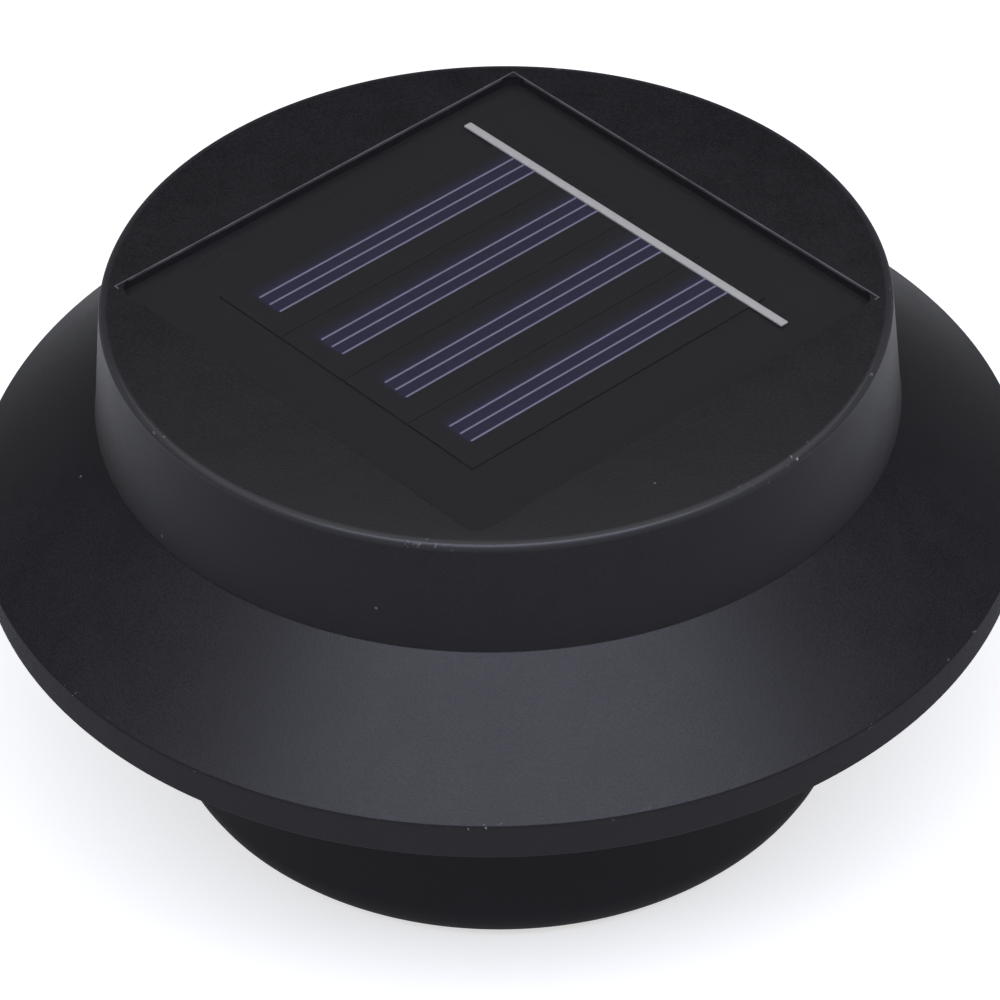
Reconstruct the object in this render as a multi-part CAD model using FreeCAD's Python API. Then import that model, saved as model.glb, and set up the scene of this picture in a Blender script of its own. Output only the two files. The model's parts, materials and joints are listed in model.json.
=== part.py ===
import FreeCAD, Part
import math
import os

# Solar fence light: a moulded hat with a solar panel on a round bowl that shines downwards,
# hooked over a fence board or gutter lip by a bent steel strip.
# +Z is up and +Y points to the bracket. The origin is the centre of the bowl's base.
# Lengths are in millimetres and angles in degrees.

# ---- Driving dimensions ----

# Bowl
bowl_radius = 40.0
bowl_height = 44.0
base_round = 5.8
wall = 2.0
base_land = 11.2            # flat ring that the bowl stands on
base_bevel = 0.3
spigot_height = 3.0
spigot_wall = 1.6
spigot_gap = 0.25
seal_thickness = 1.3

# Cap: drum, straight sloping brim and upright lip
total_height = 63.0
drum_height = 13.7
drum_reach = 5.4            # drum's foot outside the bowl
drum_lean = 1.2             # drum's top inside its foot
drum_edge_round = 0.5
brim_reach = 14.6           # brim's edge outside the drum's foot
brim_drop = 12.05
lip_height = 4.8
lip_draft = 0.35
lip_bevel = 0.35
ring_wall = 1.8
brim_rib_count = 12
brim_rib_thickness = 1.2
brim_rib_depth = 2.6
brim_rib_end_gap = 2.2

# Solar panel, square, with a corner towards the bracket
panel_corner_rim = 1.8      # from the panel's square corner out to the drum's top edge
panel_corner = 2.0
panel_turn = 45.0
panel_gap = 0.3
panel_sink = 0.25
cover_thickness = 0.95
cover_pocket_depth = 0.5
cover_rim = 2.6
panel_board_thickness = 1.0
adhesive_thickness = 0.35
adhesive_margin = 4.0
tray_wall = 1.6
cell_count = 4
cell_side_margin = 6.2
cell_end_margin = 5.4
cell_gap = 0.4
cell_thickness = 0.2
cell_shift = 0.65
line_count = 3
line_pitch = 1.75
line_width = 0.22
line_thickness = 0.08
line_start_gap = 3.0
bus_bar_inset = 2.05
bus_bar_width = 1.05
bus_bar_end_gap = 1.9
bus_bar_shift = 1.05
bus_bar_thickness = 0.2

# Screws that close the housing, from below
post_count = 3
post_first_angle = 90.0
post_radius = 3.9
post_margin = 1.8
post_web = 2.0
counterbore_radius = 2.8
housing_screw_radius = 1.5
housing_screw_length = 12.0
housing_screw_head_radius = 2.6
boss_radius = 3.2
gusset_thickness = 1.4
gusset_drop = 7.0

# Lens, reflector and LEDs
lens_flange_width = 1.6
lens_flange_thickness = 1.2
lens_sink = 0.7
lens_bevel = 0.8
collar_thickness = 1.0
collar_height = 2.4
reflector_wall = 1.2
reflector_flange_thickness = 1.0
reflector_waist_inset = 7.4
reflector_waist_height = 6.6
reflector_top_radius = 11.4
led_count = 3
led_circle = 6.0
led_radius = 2.5
led_flange_radius = 2.9
led_flange_height = 1.0
led_length = 8.6
led_gap = 0.2

# Board
board_z = 15.0
board_thickness = 1.2
board_post_gap = 1.3
ear_half_width = 4.0
ear_corner = 3.6
ear_reach = 3.4
standoff_radius = 2.6
board_screw_radius = 1.0
board_screw_length = 6.0
board_screw_head_radius = 1.9

# Battery and its tray
battery_radius = 5.25
battery_length = 44.5
battery_bevel = 0.4
battery_nub_radius = 2.7
battery_nub_height = 1.0
tray_side_gap = 0.25
holder_wall = 1.5
holder_base = 1.5
holder_height = 9.4
holder_corner = 0.8
holder_notch_length = 22.0
holder_notch_depth = 3.6
contact_thickness = 0.35
contact_width = 7.0
contact_spring_depth = 2.4
contact_bend = 0.4
contact_tip_rise = 3.7
contact_tip_back = 0.7
tab_height = 1.6
foam_thickness = 1.0
foam_corner = 1.0
foam_edge_gap = 1.5

# Driver
chip_width = 4.4
chip_depth = 2.2
chip_height = 3.6
chip_bevel = 0.7
chip_leg_height = 1.0
chip_leg_pitch = 1.45
chip_leg_width = 0.4
inductor_radius = 2.0
inductor_length = 7.0
inductor_collar = 1.75
inductor_waist_depth = 0.3
inductor_lead_radius = 0.35
inductor_lead_out = 1.6
driver_offset_x = 8.0
driver_inset_y = 10.4

# On/off switch
switch_length = 8.6
switch_width = 3.8
switch_height = 3.6
switch_sheet = 0.4
switch_travel = 2.0
switch_play = 0.15
chamber_end_gap = 0.3
knob_length = 1.6
knob_width = 2.0
knob_sink = 0.5
knob_groove_width = 0.25
knob_groove_depth = 0.3
slider_plate_length = 5.0
slider_plate_height = 0.8
switch_pad_wall = 1.2
switch_pad_corner = 1.2
switch_floor_z = 3.0
switch_floor = 1.4
finger_room = 3.5
pocket_margin = 0.5
pocket_corner = 1.0
pin_width = 0.8
pin_thickness = 0.4
pin_length = 3.0
pin_pitch = 2.5

# Wires and the slot that the panel's wires pass through
wire_radius = 0.6
wire_slot_length = 8.0
wire_slot_width = 4.0
wire_slot_inset = 7.4
panel_wire_half_pitch = 2.0
panel_wire_spread = 2.0
panel_wire_lead = 8.0
battery_wire_rise = 3.0
battery_wire_side_gap = 3.5
battery_wire_inset = 7.0
switch_wire_rise = 5.0
switch_wire_inset = 4.0
wire_corner_cut = 2.0

# Bracket: a strip bent over the top of a board, hung just under the cap's lip
strip_lip_gap = 1.25
strip_width = 26.0
strip_thickness = 1.2
strip_bend = 2.2
strip_corner = 3.0
inner_leg_length = 22.2
outer_leg_length = 27.2
channel_width = 18.0
pad_reach = 1.8
pad_width = 28.0
pad_height = 23.0
pad_top_drop = 0.2
pad_corner = 2.5
bracket_screw_spacing = 16.0
bracket_screw_drop = 9.7
bracket_screw_radius = 1.5
bracket_screw_length = 9.0
bracket_screw_head_radius = 2.7
bracket_boss_radius = 2.9
pilot_tip_gap = 0.2
boss_end_wall = 0.8
fence_hole_spacing = 16.0
fence_hole_drop = 9.2
fence_hole_radius = 2.1

# Clamp screws through the bracket's outer leg
clamp_spacing = 14.0
clamp_drop = 18.7
clamp_screw_radius = 2.0
clamp_travel = 10.0
clamp_run_gap = 0.05
clamp_hole_gap = 0.25
nut_across_flats = 7.0
nut_thickness = 3.2
swivel_radius = 4.2
swivel_thickness = 2.6
swivel_bevel = 0.5
swivel_taper = 0.8
swivel_neck_radius = 2.9
swivel_leg_gap = 0.8
pivot_radius = 1.3
pivot_depth = 1.6
pivot_end_gap = 0.1
thumb_radius = 5.2
thumb_height = 5.0
thumb_nut_gap = 0.6
flute_count = 12
flute_radius = 0.7

# Shared clearances and fastener shapes
thread_gap = 0.05
hole_gap = 0.2
fit_gap = 0.15
pan_head_height = 1.7
pan_head_bevel = 0.8
recess_width = 0.6
recess_length = 2.4
recess_depth = 0.8

# ---- Places that follow from the driving dimensions ----

drum_base_radius = bowl_radius + drum_reach
drum_top_radius = drum_base_radius - drum_lean
brim_radius = drum_base_radius + brim_reach
drum_base_z = total_height - drum_height
lip_top_z = drum_base_z - brim_drop
lip_bottom_z = lip_top_z - lip_height
ceiling_z = total_height - wall
brim_slope = brim_drop / brim_reach
brim_wall_drop = wall * math.sqrt(1 + brim_slope ** 2)
drum_taper = drum_lean / drum_height

panel_side = math.sqrt(2) * (drum_top_radius - panel_corner_rim)
cover_top_z = total_height - panel_sink
cover_low_z = cover_top_z - cover_thickness
panel_board_z = cover_low_z - panel_board_thickness
recess_floor_z = panel_board_z - adhesive_thickness
tray_low_z = recess_floor_z - tray_wall
recess_side = panel_side + 2 * panel_gap
recess_corner = panel_corner + panel_gap
pocket_side = panel_side - 2 * cover_rim
cell_pitch = (pocket_side - 2 * cell_side_margin) / cell_count
cell_length = pocket_side - 2 * cell_end_margin
lines_z = cover_low_z + cell_thickness
line_front = line_start_gap - cell_length / 2
bus_bar_place = cell_length / 2 - bus_bar_inset
bus_bar_length = pocket_side - 2 * bus_bar_end_gap

bowl_inner_radius = bowl_radius - wall
ring_inner_radius = bowl_radius - ring_wall
spigot_radius = ring_inner_radius - spigot_gap
spigot_inner_radius = spigot_radius - spigot_wall
ring_low_z = bowl_height + seal_thickness
flat_radius = bowl_radius - base_round
lens_opening_radius = flat_radius - base_land
post_circle = flat_radius - counterbore_radius - post_margin
post_web_z = bowl_height - post_web

lens_flange_radius = lens_opening_radius + lens_flange_width
lens_face_radius = lens_opening_radius - hole_gap
reflector_z = wall + lens_flange_thickness
reflector_mouth = lens_flange_radius - 2 * reflector_wall
board_top_z = board_z + board_thickness
board_radius = post_circle - post_radius - board_post_gap
driver_y = board_radius - driver_inset_y
wire_slot_y = board_radius - wire_slot_inset

holder_inner_length = battery_length + contact_thickness + contact_spring_depth
holder_length = holder_inner_length + 2 * holder_wall
holder_inner_width = 2 * (battery_radius + tray_side_gap)
holder_width = holder_inner_width + 2 * holder_wall
holder_z = board_top_z + foam_thickness
holder_floor_z = holder_z + holder_base
holder_top_z = holder_z + holder_height
battery_z = holder_floor_z + battery_radius
battery_plus_x = holder_inner_length / 2 - contact_thickness
battery_minus_x = battery_plus_x - battery_length
tab_top_z = holder_top_z + tab_height

standoff_by_lens = lens_flange_radius + 2 * hole_gap + standoff_radius
standoff_by_holder = holder_length / 2 + board_screw_head_radius + 2 * hole_gap
standoff_x = max(standoff_by_lens, standoff_by_holder)

switch_y = -(flat_radius + lens_opening_radius) / 2
switch_top_z = switch_floor_z + switch_height
pin_top_z = switch_top_z + pin_length
slot_length = knob_length + switch_travel + 2 * switch_play
slot_width = knob_width + 2 * switch_play

strip_top = lip_bottom_z - strip_lip_gap
pad_face = bowl_radius + pad_reach
pad_high = strip_top - pad_top_drop
pad_low = pad_high - pad_height
inner_leg_low = strip_top - inner_leg_length
outer_leg_low = strip_top - outer_leg_length
inner_leg_y = pad_face + strip_thickness / 2
outer_leg_y = inner_leg_y + channel_width + strip_thickness
outer_leg_inside_y = outer_leg_y - strip_thickness / 2
outer_leg_outside_y = outer_leg_y + strip_thickness / 2
bracket_screw_z = strip_top - bracket_screw_drop
fence_hole_z = strip_top - fence_hole_drop
clamp_z = strip_top - clamp_drop
swivel_back_y = outer_leg_inside_y - swivel_leg_gap
swivel_front_y = swivel_back_y - swivel_thickness
thumb_y = outer_leg_outside_y + nut_thickness + clamp_travel + thumb_nut_gap

bite = 0.5                  # how far fused features reach into the wall that carries them
past = 1.0                  # how far cutting tools reach past the face that they cut
same_point = 1e-6           # points nearer than this are one point


# ---- Shape helpers ----

def upright(a, b):
    """Point of an outline drawn in the XZ plane."""
    return FreeCAD.Vector(a, 0, b)


def sideways(a, b):
    """Point of an outline drawn in the YZ plane."""
    return FreeCAD.Vector(0, a, b)


def flat(a, b):
    """Point of an outline drawn in the XY plane."""
    return FreeCAD.Vector(a, b, 0)


def rounded_face(corners, place):
    """Face inside a closed outline of (a, b, size) corners.

    A corner of size 0 is sharp, a positive size rounds it by that radius, and a negative size
    cuts it straight, that far back along both sides.
    """
    pieces = []
    for index, (a, b, size) in enumerate(corners):
        corner = FreeCAD.Vector(a, b, 0)
        next_a, next_b, _ = corners[(index + 1) % len(corners)]
        before = (FreeCAD.Vector(corners[index - 1][0], corners[index - 1][1], 0) - corner).normalize()
        after = (FreeCAD.Vector(next_a, next_b, 0) - corner).normalize()
        if size == 0:
            pieces.append((corner, None, corner))
        elif size < 0:
            pieces.append((corner - before * size, "cut", corner - after * size))
        else:
            half_angle = before.getAngle(after) / 2
            setback = size / math.tan(half_angle)
            middle = (before + after).normalize()
            nearest = corner + middle * (size / math.sin(half_angle) - size)
            pieces.append((corner + before * setback, nearest, corner + after * setback))
    edges = []
    for index, (start, middle, end) in enumerate(pieces):
        if middle == "cut":
            edges.append(Part.makeLine(place(start.x, start.y), place(end.x, end.y)))
        elif middle is not None:
            arc = Part.Arc(place(start.x, start.y), place(middle.x, middle.y), place(end.x, end.y))
            edges.append(arc.toShape())
        following = pieces[(index + 1) % len(pieces)][0]
        if end.distanceToPoint(following) > same_point:
            edges.append(Part.makeLine(place(end.x, end.y), place(following.x, following.y)))
    return Part.Face(Part.Wire(edges))


def turned(corners):
    """Solid of an (r, z) outline turned about the Z axis."""
    return rounded_face(corners, upright).revolve(flat(0, 0), upright(0, 1), 360)


def plate(corners, low, height):
    """Plan outline raised from z = low."""
    solid = rounded_face(corners, flat).extrude(upright(0, height))
    solid.translate(upright(0, low))
    return solid


def rectangle(length, width, corner, x=0.0, y=0.0):
    """Corners of a rounded rectangle centred on x, y."""
    half_length = length / 2
    half_width = width / 2
    return [
        (x - half_length, y - half_width, corner),
        (x + half_length, y - half_width, corner),
        (x + half_length, y + half_width, corner),
        (x - half_length, y + half_width, corner),
    ]


def disc(radius, low, height, x=0.0, y=0.0):
    """Upright cylinder."""
    return Part.makeCylinder(radius, height, FreeCAD.Vector(x, y, low))


def rod(radius, start_y, end_y, x, z):
    """Cylinder along Y."""
    start = FreeCAD.Vector(x, start_y, z)
    return Part.makeCylinder(radius, end_y - start_y, start, flat(0, 1))


def placed(shape, tilt, x, y, z):
    """Shape tilted about the X axis and then moved to x, y, z."""
    shape.rotate(flat(0, 0), flat(1, 0), tilt)
    shape.translate(FreeCAD.Vector(x, y, z))
    return shape


def spun(shape, angle):
    """Shape turned about the Z axis."""
    shape.rotate(flat(0, 0), upright(0, 1), angle)
    return shape


def joined(shape, additions):
    """One clean solid of a shape and what is moulded onto it."""
    return shape.fuse(additions).removeSplitter()


def group(solids):
    """Separate solids that share a node."""
    return Part.Compound(solids)


def bent_strip(route, thickness, bend):
    """Corners of a strip of even thickness along a route of (a, b) points with rounded bends."""
    left = []
    right = []
    for index, (a, b) in enumerate(route):
        point = FreeCAD.Vector(a, b, 0)
        runs = []
        if index > 0:
            runs.append(point - FreeCAD.Vector(route[index - 1][0], route[index - 1][1], 0))
        if index < len(route) - 1:
            runs.append(FreeCAD.Vector(route[index + 1][0], route[index + 1][1], 0) - point)
        normals = [FreeCAD.Vector(-run.y, run.x, 0).normalize() for run in runs]
        middle = (normals[0] + normals[-1]).normalize()
        reach = thickness / 2 / middle.dot(normals[0])
        turn = runs[0].cross(runs[-1]).z
        inner_radius = bend - thickness / 2
        outer_radius = bend + thickness / 2
        if index in (0, len(route) - 1):
            left_radius = 0
            right_radius = 0
        elif turn > 0:
            left_radius = inner_radius
            right_radius = outer_radius
        else:
            left_radius = outer_radius
            right_radius = inner_radius
        left_point = point + middle * reach
        right_point = point - middle * reach
        left.append((left_point.x, left_point.y, left_radius))
        right.append((right_point.x, right_point.y, right_radius))
    return left + right[::-1]


def round_bar(route, radius):
    """Round bar along straight runs that meet in mitred corners."""
    section = Part.Wire(Part.makeCircle(radius, route[0], route[1] - route[0]))
    mitred = 1
    return Part.makePolygon(route).makePipeShell([section], True, False, mitred)


def wire(points):
    """Insulated wire along straight runs, with each corner taken in two even turns."""
    points = [FreeCAD.Vector(*point) for point in points]
    route = [points[0]]
    for before, corner, after in zip(points, points[1:], points[2:]):
        back = (before - corner).normalize()
        ahead = (after - corner).normalize()
        route.append(corner + back * wire_corner_cut)
        route.append(corner + ahead * wire_corner_cut)
    route.append(points[-1])
    return round_bar(route, wire_radius)


def post_places():
    """Plan places of the posts for the housing screws."""
    for index in range(post_count):
        angle = math.radians(post_first_angle + 360.0 * index / post_count)
        yield post_circle * math.cos(angle), post_circle * math.sin(angle)


def pan_screw(radius, length, head_radius):
    """Screw with its tip up: a bevelled head below z = 0 with a cross recess, and a pointed shank."""
    screw = turned([
        (0, -pan_head_height, 0),
        (head_radius, -pan_head_height, -pan_head_bevel),
        (head_radius, 0, 0),
        (radius, 0, 0),
        (radius, length - radius, 0),
        (0, length, 0),
    ])
    slots = []
    for length_x, length_y in ((recess_length, recess_width), (recess_width, recess_length)):
        slots.append(plate(rectangle(length_x, length_y, 0), -pan_head_height - past, past + recess_depth))
    return screw.cut(slots)


# ---- Cap ----

def brim_under_z(radius):
    """Height of the brim's under face at a radius."""
    return drum_base_z - (radius - drum_base_radius) * brim_slope - brim_wall_drop


def cap_outline():
    """Half section of the drum, brim, lip and sealing ring."""
    lip_foot_radius = brim_radius - lip_draft
    lip_inner_radius = lip_foot_radius - wall
    drum_foot_inside = drum_base_radius - wall - drum_taper * wall
    drum_top_inside = drum_top_radius - wall + drum_taper * wall
    return [
        (0, total_height, 0),
        (drum_top_radius, total_height, drum_edge_round),
        (drum_base_radius, drum_base_z, 0),
        (brim_radius, lip_top_z, -lip_bevel),
        (lip_foot_radius, lip_bottom_z, -lip_bevel),
        (lip_inner_radius, lip_bottom_z, 0),
        (lip_inner_radius + lip_draft / 2, brim_under_z(lip_inner_radius), 0),
        (drum_foot_inside, brim_under_z(drum_foot_inside), 0),
        (drum_top_inside, ceiling_z, 0),
        (bowl_radius, ceiling_z, 0),
        (bowl_radius, ring_low_z, 0),
        (ring_inner_radius, ring_low_z, 0),
        (ring_inner_radius, ceiling_z, 0),
        (0, ceiling_z, 0),
    ]


def brim_ribs():
    """Radial ribs under the brim, from the sealing ring to just short of the lip."""
    rib_start = bowl_radius - ring_wall / 2
    rib_bend = drum_base_radius - wall
    rib_end = brim_radius - lip_draft - wall - brim_rib_end_gap
    into_wall = wall / 2
    section = [
        (rib_start, ring_low_z + bite, 0),
        (rib_bend, brim_under_z(rib_bend) - brim_rib_depth, 0),
        (rib_end, brim_under_z(rib_end) - bite, 0),
        (rib_end, brim_under_z(rib_end) + into_wall, 0),
        (rib_bend, brim_under_z(rib_bend) + into_wall, 0),
        (rib_bend, ceiling_z + into_wall, 0),
        (rib_start, ceiling_z + into_wall, 0),
    ]
    ribs = []
    for index in range(brim_rib_count):
        rib = rounded_face(section, upright).extrude(flat(0, brim_rib_thickness))
        rib.translate(flat(0, -brim_rib_thickness / 2))
        ribs.append(spun(rib, 360.0 * (index + 0.5) / brim_rib_count))
    return ribs


def panel_tray():
    """Square pan under the drum's top that holds the panel, kept inside the drum's wall."""
    side = recess_side + 2 * tray_wall
    corner = recess_corner + tray_wall
    pan = spun(plate(rectangle(side, side, corner), tray_low_z, ceiling_z + bite - tray_low_z), panel_turn)
    inset = wall / 2
    foot = upright(0, drum_base_z)
    inside_drum = Part.makeCone(drum_base_radius - inset, drum_top_radius - inset, drum_height, foot)
    return pan.common(inside_drum)


def wire_slot(low, height):
    """Round-ended slot for the panel's wires."""
    corners = rectangle(wire_slot_length, wire_slot_width, wire_slot_width / 2, 0, wire_slot_y)
    return plate(corners, low, height)


def top_cap():
    boss_top_z = tray_low_z + tray_wall / 2
    additions = [panel_tray()] + brim_ribs()
    cuts = []
    for x, y in post_places():
        additions.append(disc(boss_radius, bowl_height, boss_top_z - bowl_height, x, y))
        cuts.append(disc(housing_screw_radius + thread_gap, bowl_height - past, housing_screw_length, x, y))
    for index in range(post_count):
        web_length = ring_inner_radius + bite - post_circle
        web = Part.makeBox(web_length, gusset_thickness, boss_top_z - ring_low_z - gusset_drop)
        web.translate(FreeCAD.Vector(post_circle, -gusset_thickness / 2, ring_low_z + gusset_drop))
        additions.append(spun(web, post_first_angle + 360.0 * index / post_count))
    recess = plate(rectangle(recess_side, recess_side, recess_corner), recess_floor_z, total_height)
    cuts.append(spun(recess, panel_turn))
    cuts.append(wire_slot(tray_low_z - past, tray_wall + 2 * past))
    return joined(turned(cap_outline()), additions).cut(cuts)


def seal_ring():
    """Flat ring squeezed between the bowl's edge and the cap's ring."""
    bore = disc(spigot_radius + fit_gap, bowl_height - past, seal_thickness + 2 * past)
    return disc(bowl_radius - fit_gap, bowl_height, seal_thickness).cut(bore)


# ---- Solar panel, drawn square to X and Y and then turned ----

def panel_sheet(side, corner, low, height):
    """Square sheet with rounded corners, centred on the lamp's axis."""
    return plate(rectangle(side, side, corner), low, height)


def panel_adhesive():
    side = panel_side - 2 * adhesive_margin
    sheet = spun(panel_sheet(side, 0, recess_floor_z, adhesive_thickness), panel_turn)
    return sheet.cut(wire_slot(recess_floor_z - past, adhesive_thickness + 2 * past))


def panel_board():
    return spun(panel_sheet(panel_side, panel_corner, panel_board_z, panel_board_thickness), panel_turn)


def panel_cover():
    """Clear cover whose rim rests on the board, with a shallow pocket over the cells."""
    cover = panel_sheet(panel_side, panel_corner, cover_low_z, cover_thickness)
    pocket = panel_sheet(pocket_side, 0, cover_low_z - past, cover_pocket_depth + past)
    return spun(cover.cut(pocket), panel_turn)


def cell_y(index):
    """Middle of a cell across the panel."""
    return cell_shift + cell_pitch * (index - (cell_count - 1) / 2)


def cell_strip(index):
    corners = rectangle(cell_length, cell_pitch - cell_gap, 0, 0, cell_y(index))
    return spun(plate(corners, cover_low_z, cell_thickness), panel_turn)


def finger_lines(index):
    """Thin collecting lines on one cell, up to the bus bar."""
    line_back = bus_bar_place - bus_bar_width / 2
    length = line_back - line_front
    middle = (line_back + line_front) / 2
    lines = []
    for line in range(line_count):
        y = cell_y(index) + line_pitch * (line - (line_count - 1) / 2)
        bar = plate(rectangle(length, line_width, 0, middle, y), lines_z, line_thickness)
        lines.append(spun(bar, panel_turn))
    return group(lines)


def bus_bar():
    corners = rectangle(bus_bar_width, bus_bar_length, 0, bus_bar_place, bus_bar_shift)
    return spun(plate(corners, lines_z, bus_bar_thickness), panel_turn)


# ---- Bowl ----

def bowl_outline():
    """Half section of the bowl, from the lens opening out, up the wall and back down inside."""
    inner_round = base_round - wall
    return [
        (lens_opening_radius, 0, -base_bevel),
        (bowl_radius, 0, base_round),
        (bowl_radius, bowl_height, 0),
        (spigot_radius, bowl_height, 0),
        (spigot_radius, bowl_height + spigot_height, 0),
        (spigot_inner_radius, bowl_height + spigot_height, 0),
        (spigot_inner_radius, bowl_height - spigot_wall, 0),
        (bowl_inner_radius, bowl_height - spigot_wall - wall, 0),
        (bowl_inner_radius, wall, -inner_round),
        (lens_opening_radius, wall, 0),
    ]


def bracket_pad():
    """Flat-faced pad on the back of the bowl for the bracket."""
    corners = rectangle(pad_width, pad_height, pad_corner, 0, (pad_low + pad_high) / 2)
    block = rounded_face(corners, upright).extrude(flat(0, pad_face))
    return block.cut(disc(bowl_radius - wall / 2, 0, bowl_height))


def post_gussets():
    """Webs that tie the posts to the bowl's wall, cut to the wall's shape."""
    outer = bowl_radius - wall / 2
    start = post_circle + (post_radius + counterbore_radius) / 2
    top_z = bowl_height - spigot_wall - wall - gusset_drop
    inside = turned([
        (0, wall / 2, 0),
        (outer, wall / 2, wall / 2 - base_round),
        (outer, bowl_height, 0),
        (0, bowl_height, 0),
    ])
    webs = []
    for index in range(post_count):
        web = Part.makeBox(outer - start, gusset_thickness, top_z - wall / 2)
        web.translate(FreeCAD.Vector(start, -gusset_thickness / 2, wall / 2))
        webs.append(spun(web.common(inside), post_first_angle + 360.0 * index / post_count))
    return webs


def lens_collar():
    """Low ring that centres the lens."""
    inner = lens_flange_radius + fit_gap
    ring = disc(inner + collar_thickness, wall - bite, collar_height + bite)
    return ring.cut(disc(inner, 0, bowl_height))


def bracket_screw_places():
    """Places of the bracket's screws across the bowl."""
    for side in (-1, 1):
        yield side * bracket_screw_spacing / 2


def switch_pocket():
    """The raised pad under the switch, and the finger pocket and slot cut through it."""
    length = slot_length + 2 * finger_room
    width = switch_width + 2 * pocket_margin
    margin = 2 * switch_pad_wall
    pad_corners = rectangle(length + margin, width + margin, switch_pad_corner, 0, switch_y)
    pad = plate(pad_corners, wall - bite, switch_floor_z - wall + bite)
    depth = switch_floor_z - switch_floor
    pocket = plate(rectangle(length, width, pocket_corner, 0, switch_y), -past, depth + past)
    slot = plate(rectangle(slot_length, slot_width, 0, 0, switch_y), 0, switch_floor_z + past)
    return pad, [pocket, slot]


def lower_bowl():
    switch_pad, cuts = switch_pocket()
    additions = [bracket_pad(), lens_collar(), switch_pad] + post_gussets()
    for x, y in post_places():
        additions.append(disc(post_radius, wall - bite, bowl_height - wall + bite, x, y))
        cuts.append(disc(counterbore_radius, -past, post_web_z + past, x, y))
        cuts.append(disc(housing_screw_radius + hole_gap, post_web_z - past, post_web + 2 * past, x, y))
    for side in (-1, 1):
        x = side * standoff_x
        pilot = board_screw_radius + thread_gap
        additions.append(disc(standoff_radius, wall - bite, board_z - wall + bite, x, 0))
        cuts.append(disc(pilot, board_z - board_screw_length, board_screw_length + past, x, 0))
    for x in bracket_screw_places():
        wall_y = math.sqrt((bowl_radius - wall / 2) ** 2 - x ** 2)
        pilot = bracket_screw_radius + thread_gap
        pilot_end_y = pad_face + strip_thickness - bracket_screw_length - pilot_tip_gap
        additions.append(rod(bracket_boss_radius, pilot_end_y - boss_end_wall, wall_y, x, bracket_screw_z))
        cuts.append(rod(pilot, pilot_end_y, pad_face + past, x, bracket_screw_z))
    return joined(turned(bowl_outline()), additions).cut(cuts)


def housing_screws():
    screws = []
    for x, y in post_places():
        screw = pan_screw(housing_screw_radius, housing_screw_length, housing_screw_head_radius)
        screws.append(placed(screw, 0, x, y, post_web_z))
    return group(screws)


# ---- Light unit ----

def lens():
    """Clear disc with a flange, set just above the base."""
    return turned([
        (0, lens_sink, 0),
        (lens_face_radius, lens_sink, -lens_bevel),
        (lens_face_radius, wall, 0),
        (lens_flange_radius, wall, 0),
        (lens_flange_radius, reflector_z, 0),
        (0, reflector_z, 0),
    ])


def led_places():
    """Plan places of the LEDs on the board."""
    for index in range(led_count):
        angle = math.radians(post_first_angle + 360.0 * index / led_count)
        yield led_circle * math.cos(angle), led_circle * math.sin(angle)


def reflector():
    """Two-step dish open at the bottom, with a flange on the lens and a flat top under the board."""
    waist = reflector_mouth - reflector_waist_inset
    waist_z = reflector_z + reflector_waist_height
    flange_z = reflector_z + reflector_flange_thickness
    inner_top_z = board_z - reflector_wall
    dish = turned([
        (reflector_mouth, reflector_z, 0),
        (waist, waist_z, 0),
        (reflector_top_radius - reflector_wall, inner_top_z, 0),
        (0, inner_top_z, 0),
        (0, board_z, 0),
        (reflector_top_radius, board_z, 0),
        (waist + reflector_wall, waist_z + reflector_wall / 2, 0),
        (reflector_mouth + reflector_wall, flange_z, 0),
        (lens_flange_radius, flange_z, 0),
        (lens_flange_radius, reflector_z, 0),
    ])
    holes = []
    for x, y in led_places():
        holes.append(disc(led_flange_radius + led_gap, inner_top_z - past, reflector_wall + 2 * past, x, y))
    return dish.cut(holes)


def led(x, y):
    """Round LED hanging from the board, with a domed tip."""
    tip_z = board_z - led_length
    flange_z = board_z - led_flange_height
    body = turned([
        (0, tip_z, 0),
        (led_radius, tip_z, led_radius),
        (led_radius, flange_z, 0),
        (led_flange_radius, flange_z, 0),
        (led_flange_radius, board_z, 0),
        (0, board_z, 0),
    ])
    body.translate(flat(x, y))
    return body


def led_board():
    """Round board with two ears, on two standoffs."""
    ears = rectangle(2 * (standoff_x + ear_reach), 2 * ear_half_width, ear_corner)
    board = joined(disc(board_radius, board_z, board_thickness), [plate(ears, board_z, board_thickness)])
    holes = []
    for side in (-1, 1):
        hole_radius = board_screw_radius + hole_gap
        holes.append(disc(hole_radius, board_z - past, board_thickness + 2 * past, side * standoff_x, 0))
    return board.cut(holes)


def board_screws():
    screws = []
    for side in (-1, 1):
        screw = pan_screw(board_screw_radius, board_screw_length, board_screw_head_radius)
        screws.append(placed(screw, 180, side * standoff_x, 0, board_top_z))
    return group(screws)


def driver_chip():
    """Small upright chip with two bevelled edges, on three legs."""
    half_width = chip_width / 2
    half_depth = chip_depth / 2
    chip = plate([
        (-half_width, -half_depth, 0),
        (half_width, -half_depth, 0),
        (half_width, half_depth, -chip_bevel),
        (-half_width, half_depth, -chip_bevel),
    ], chip_leg_height, chip_height)
    legs = []
    for step in (-1, 0, 1):
        leg = rectangle(chip_leg_width, chip_leg_width, 0, step * chip_leg_pitch, 0)
        legs.append(plate(leg, 0, chip_leg_height + bite))
    chip = joined(chip, legs)
    chip.translate(FreeCAD.Vector(-driver_offset_x, driver_y, board_top_z))
    return chip


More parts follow.
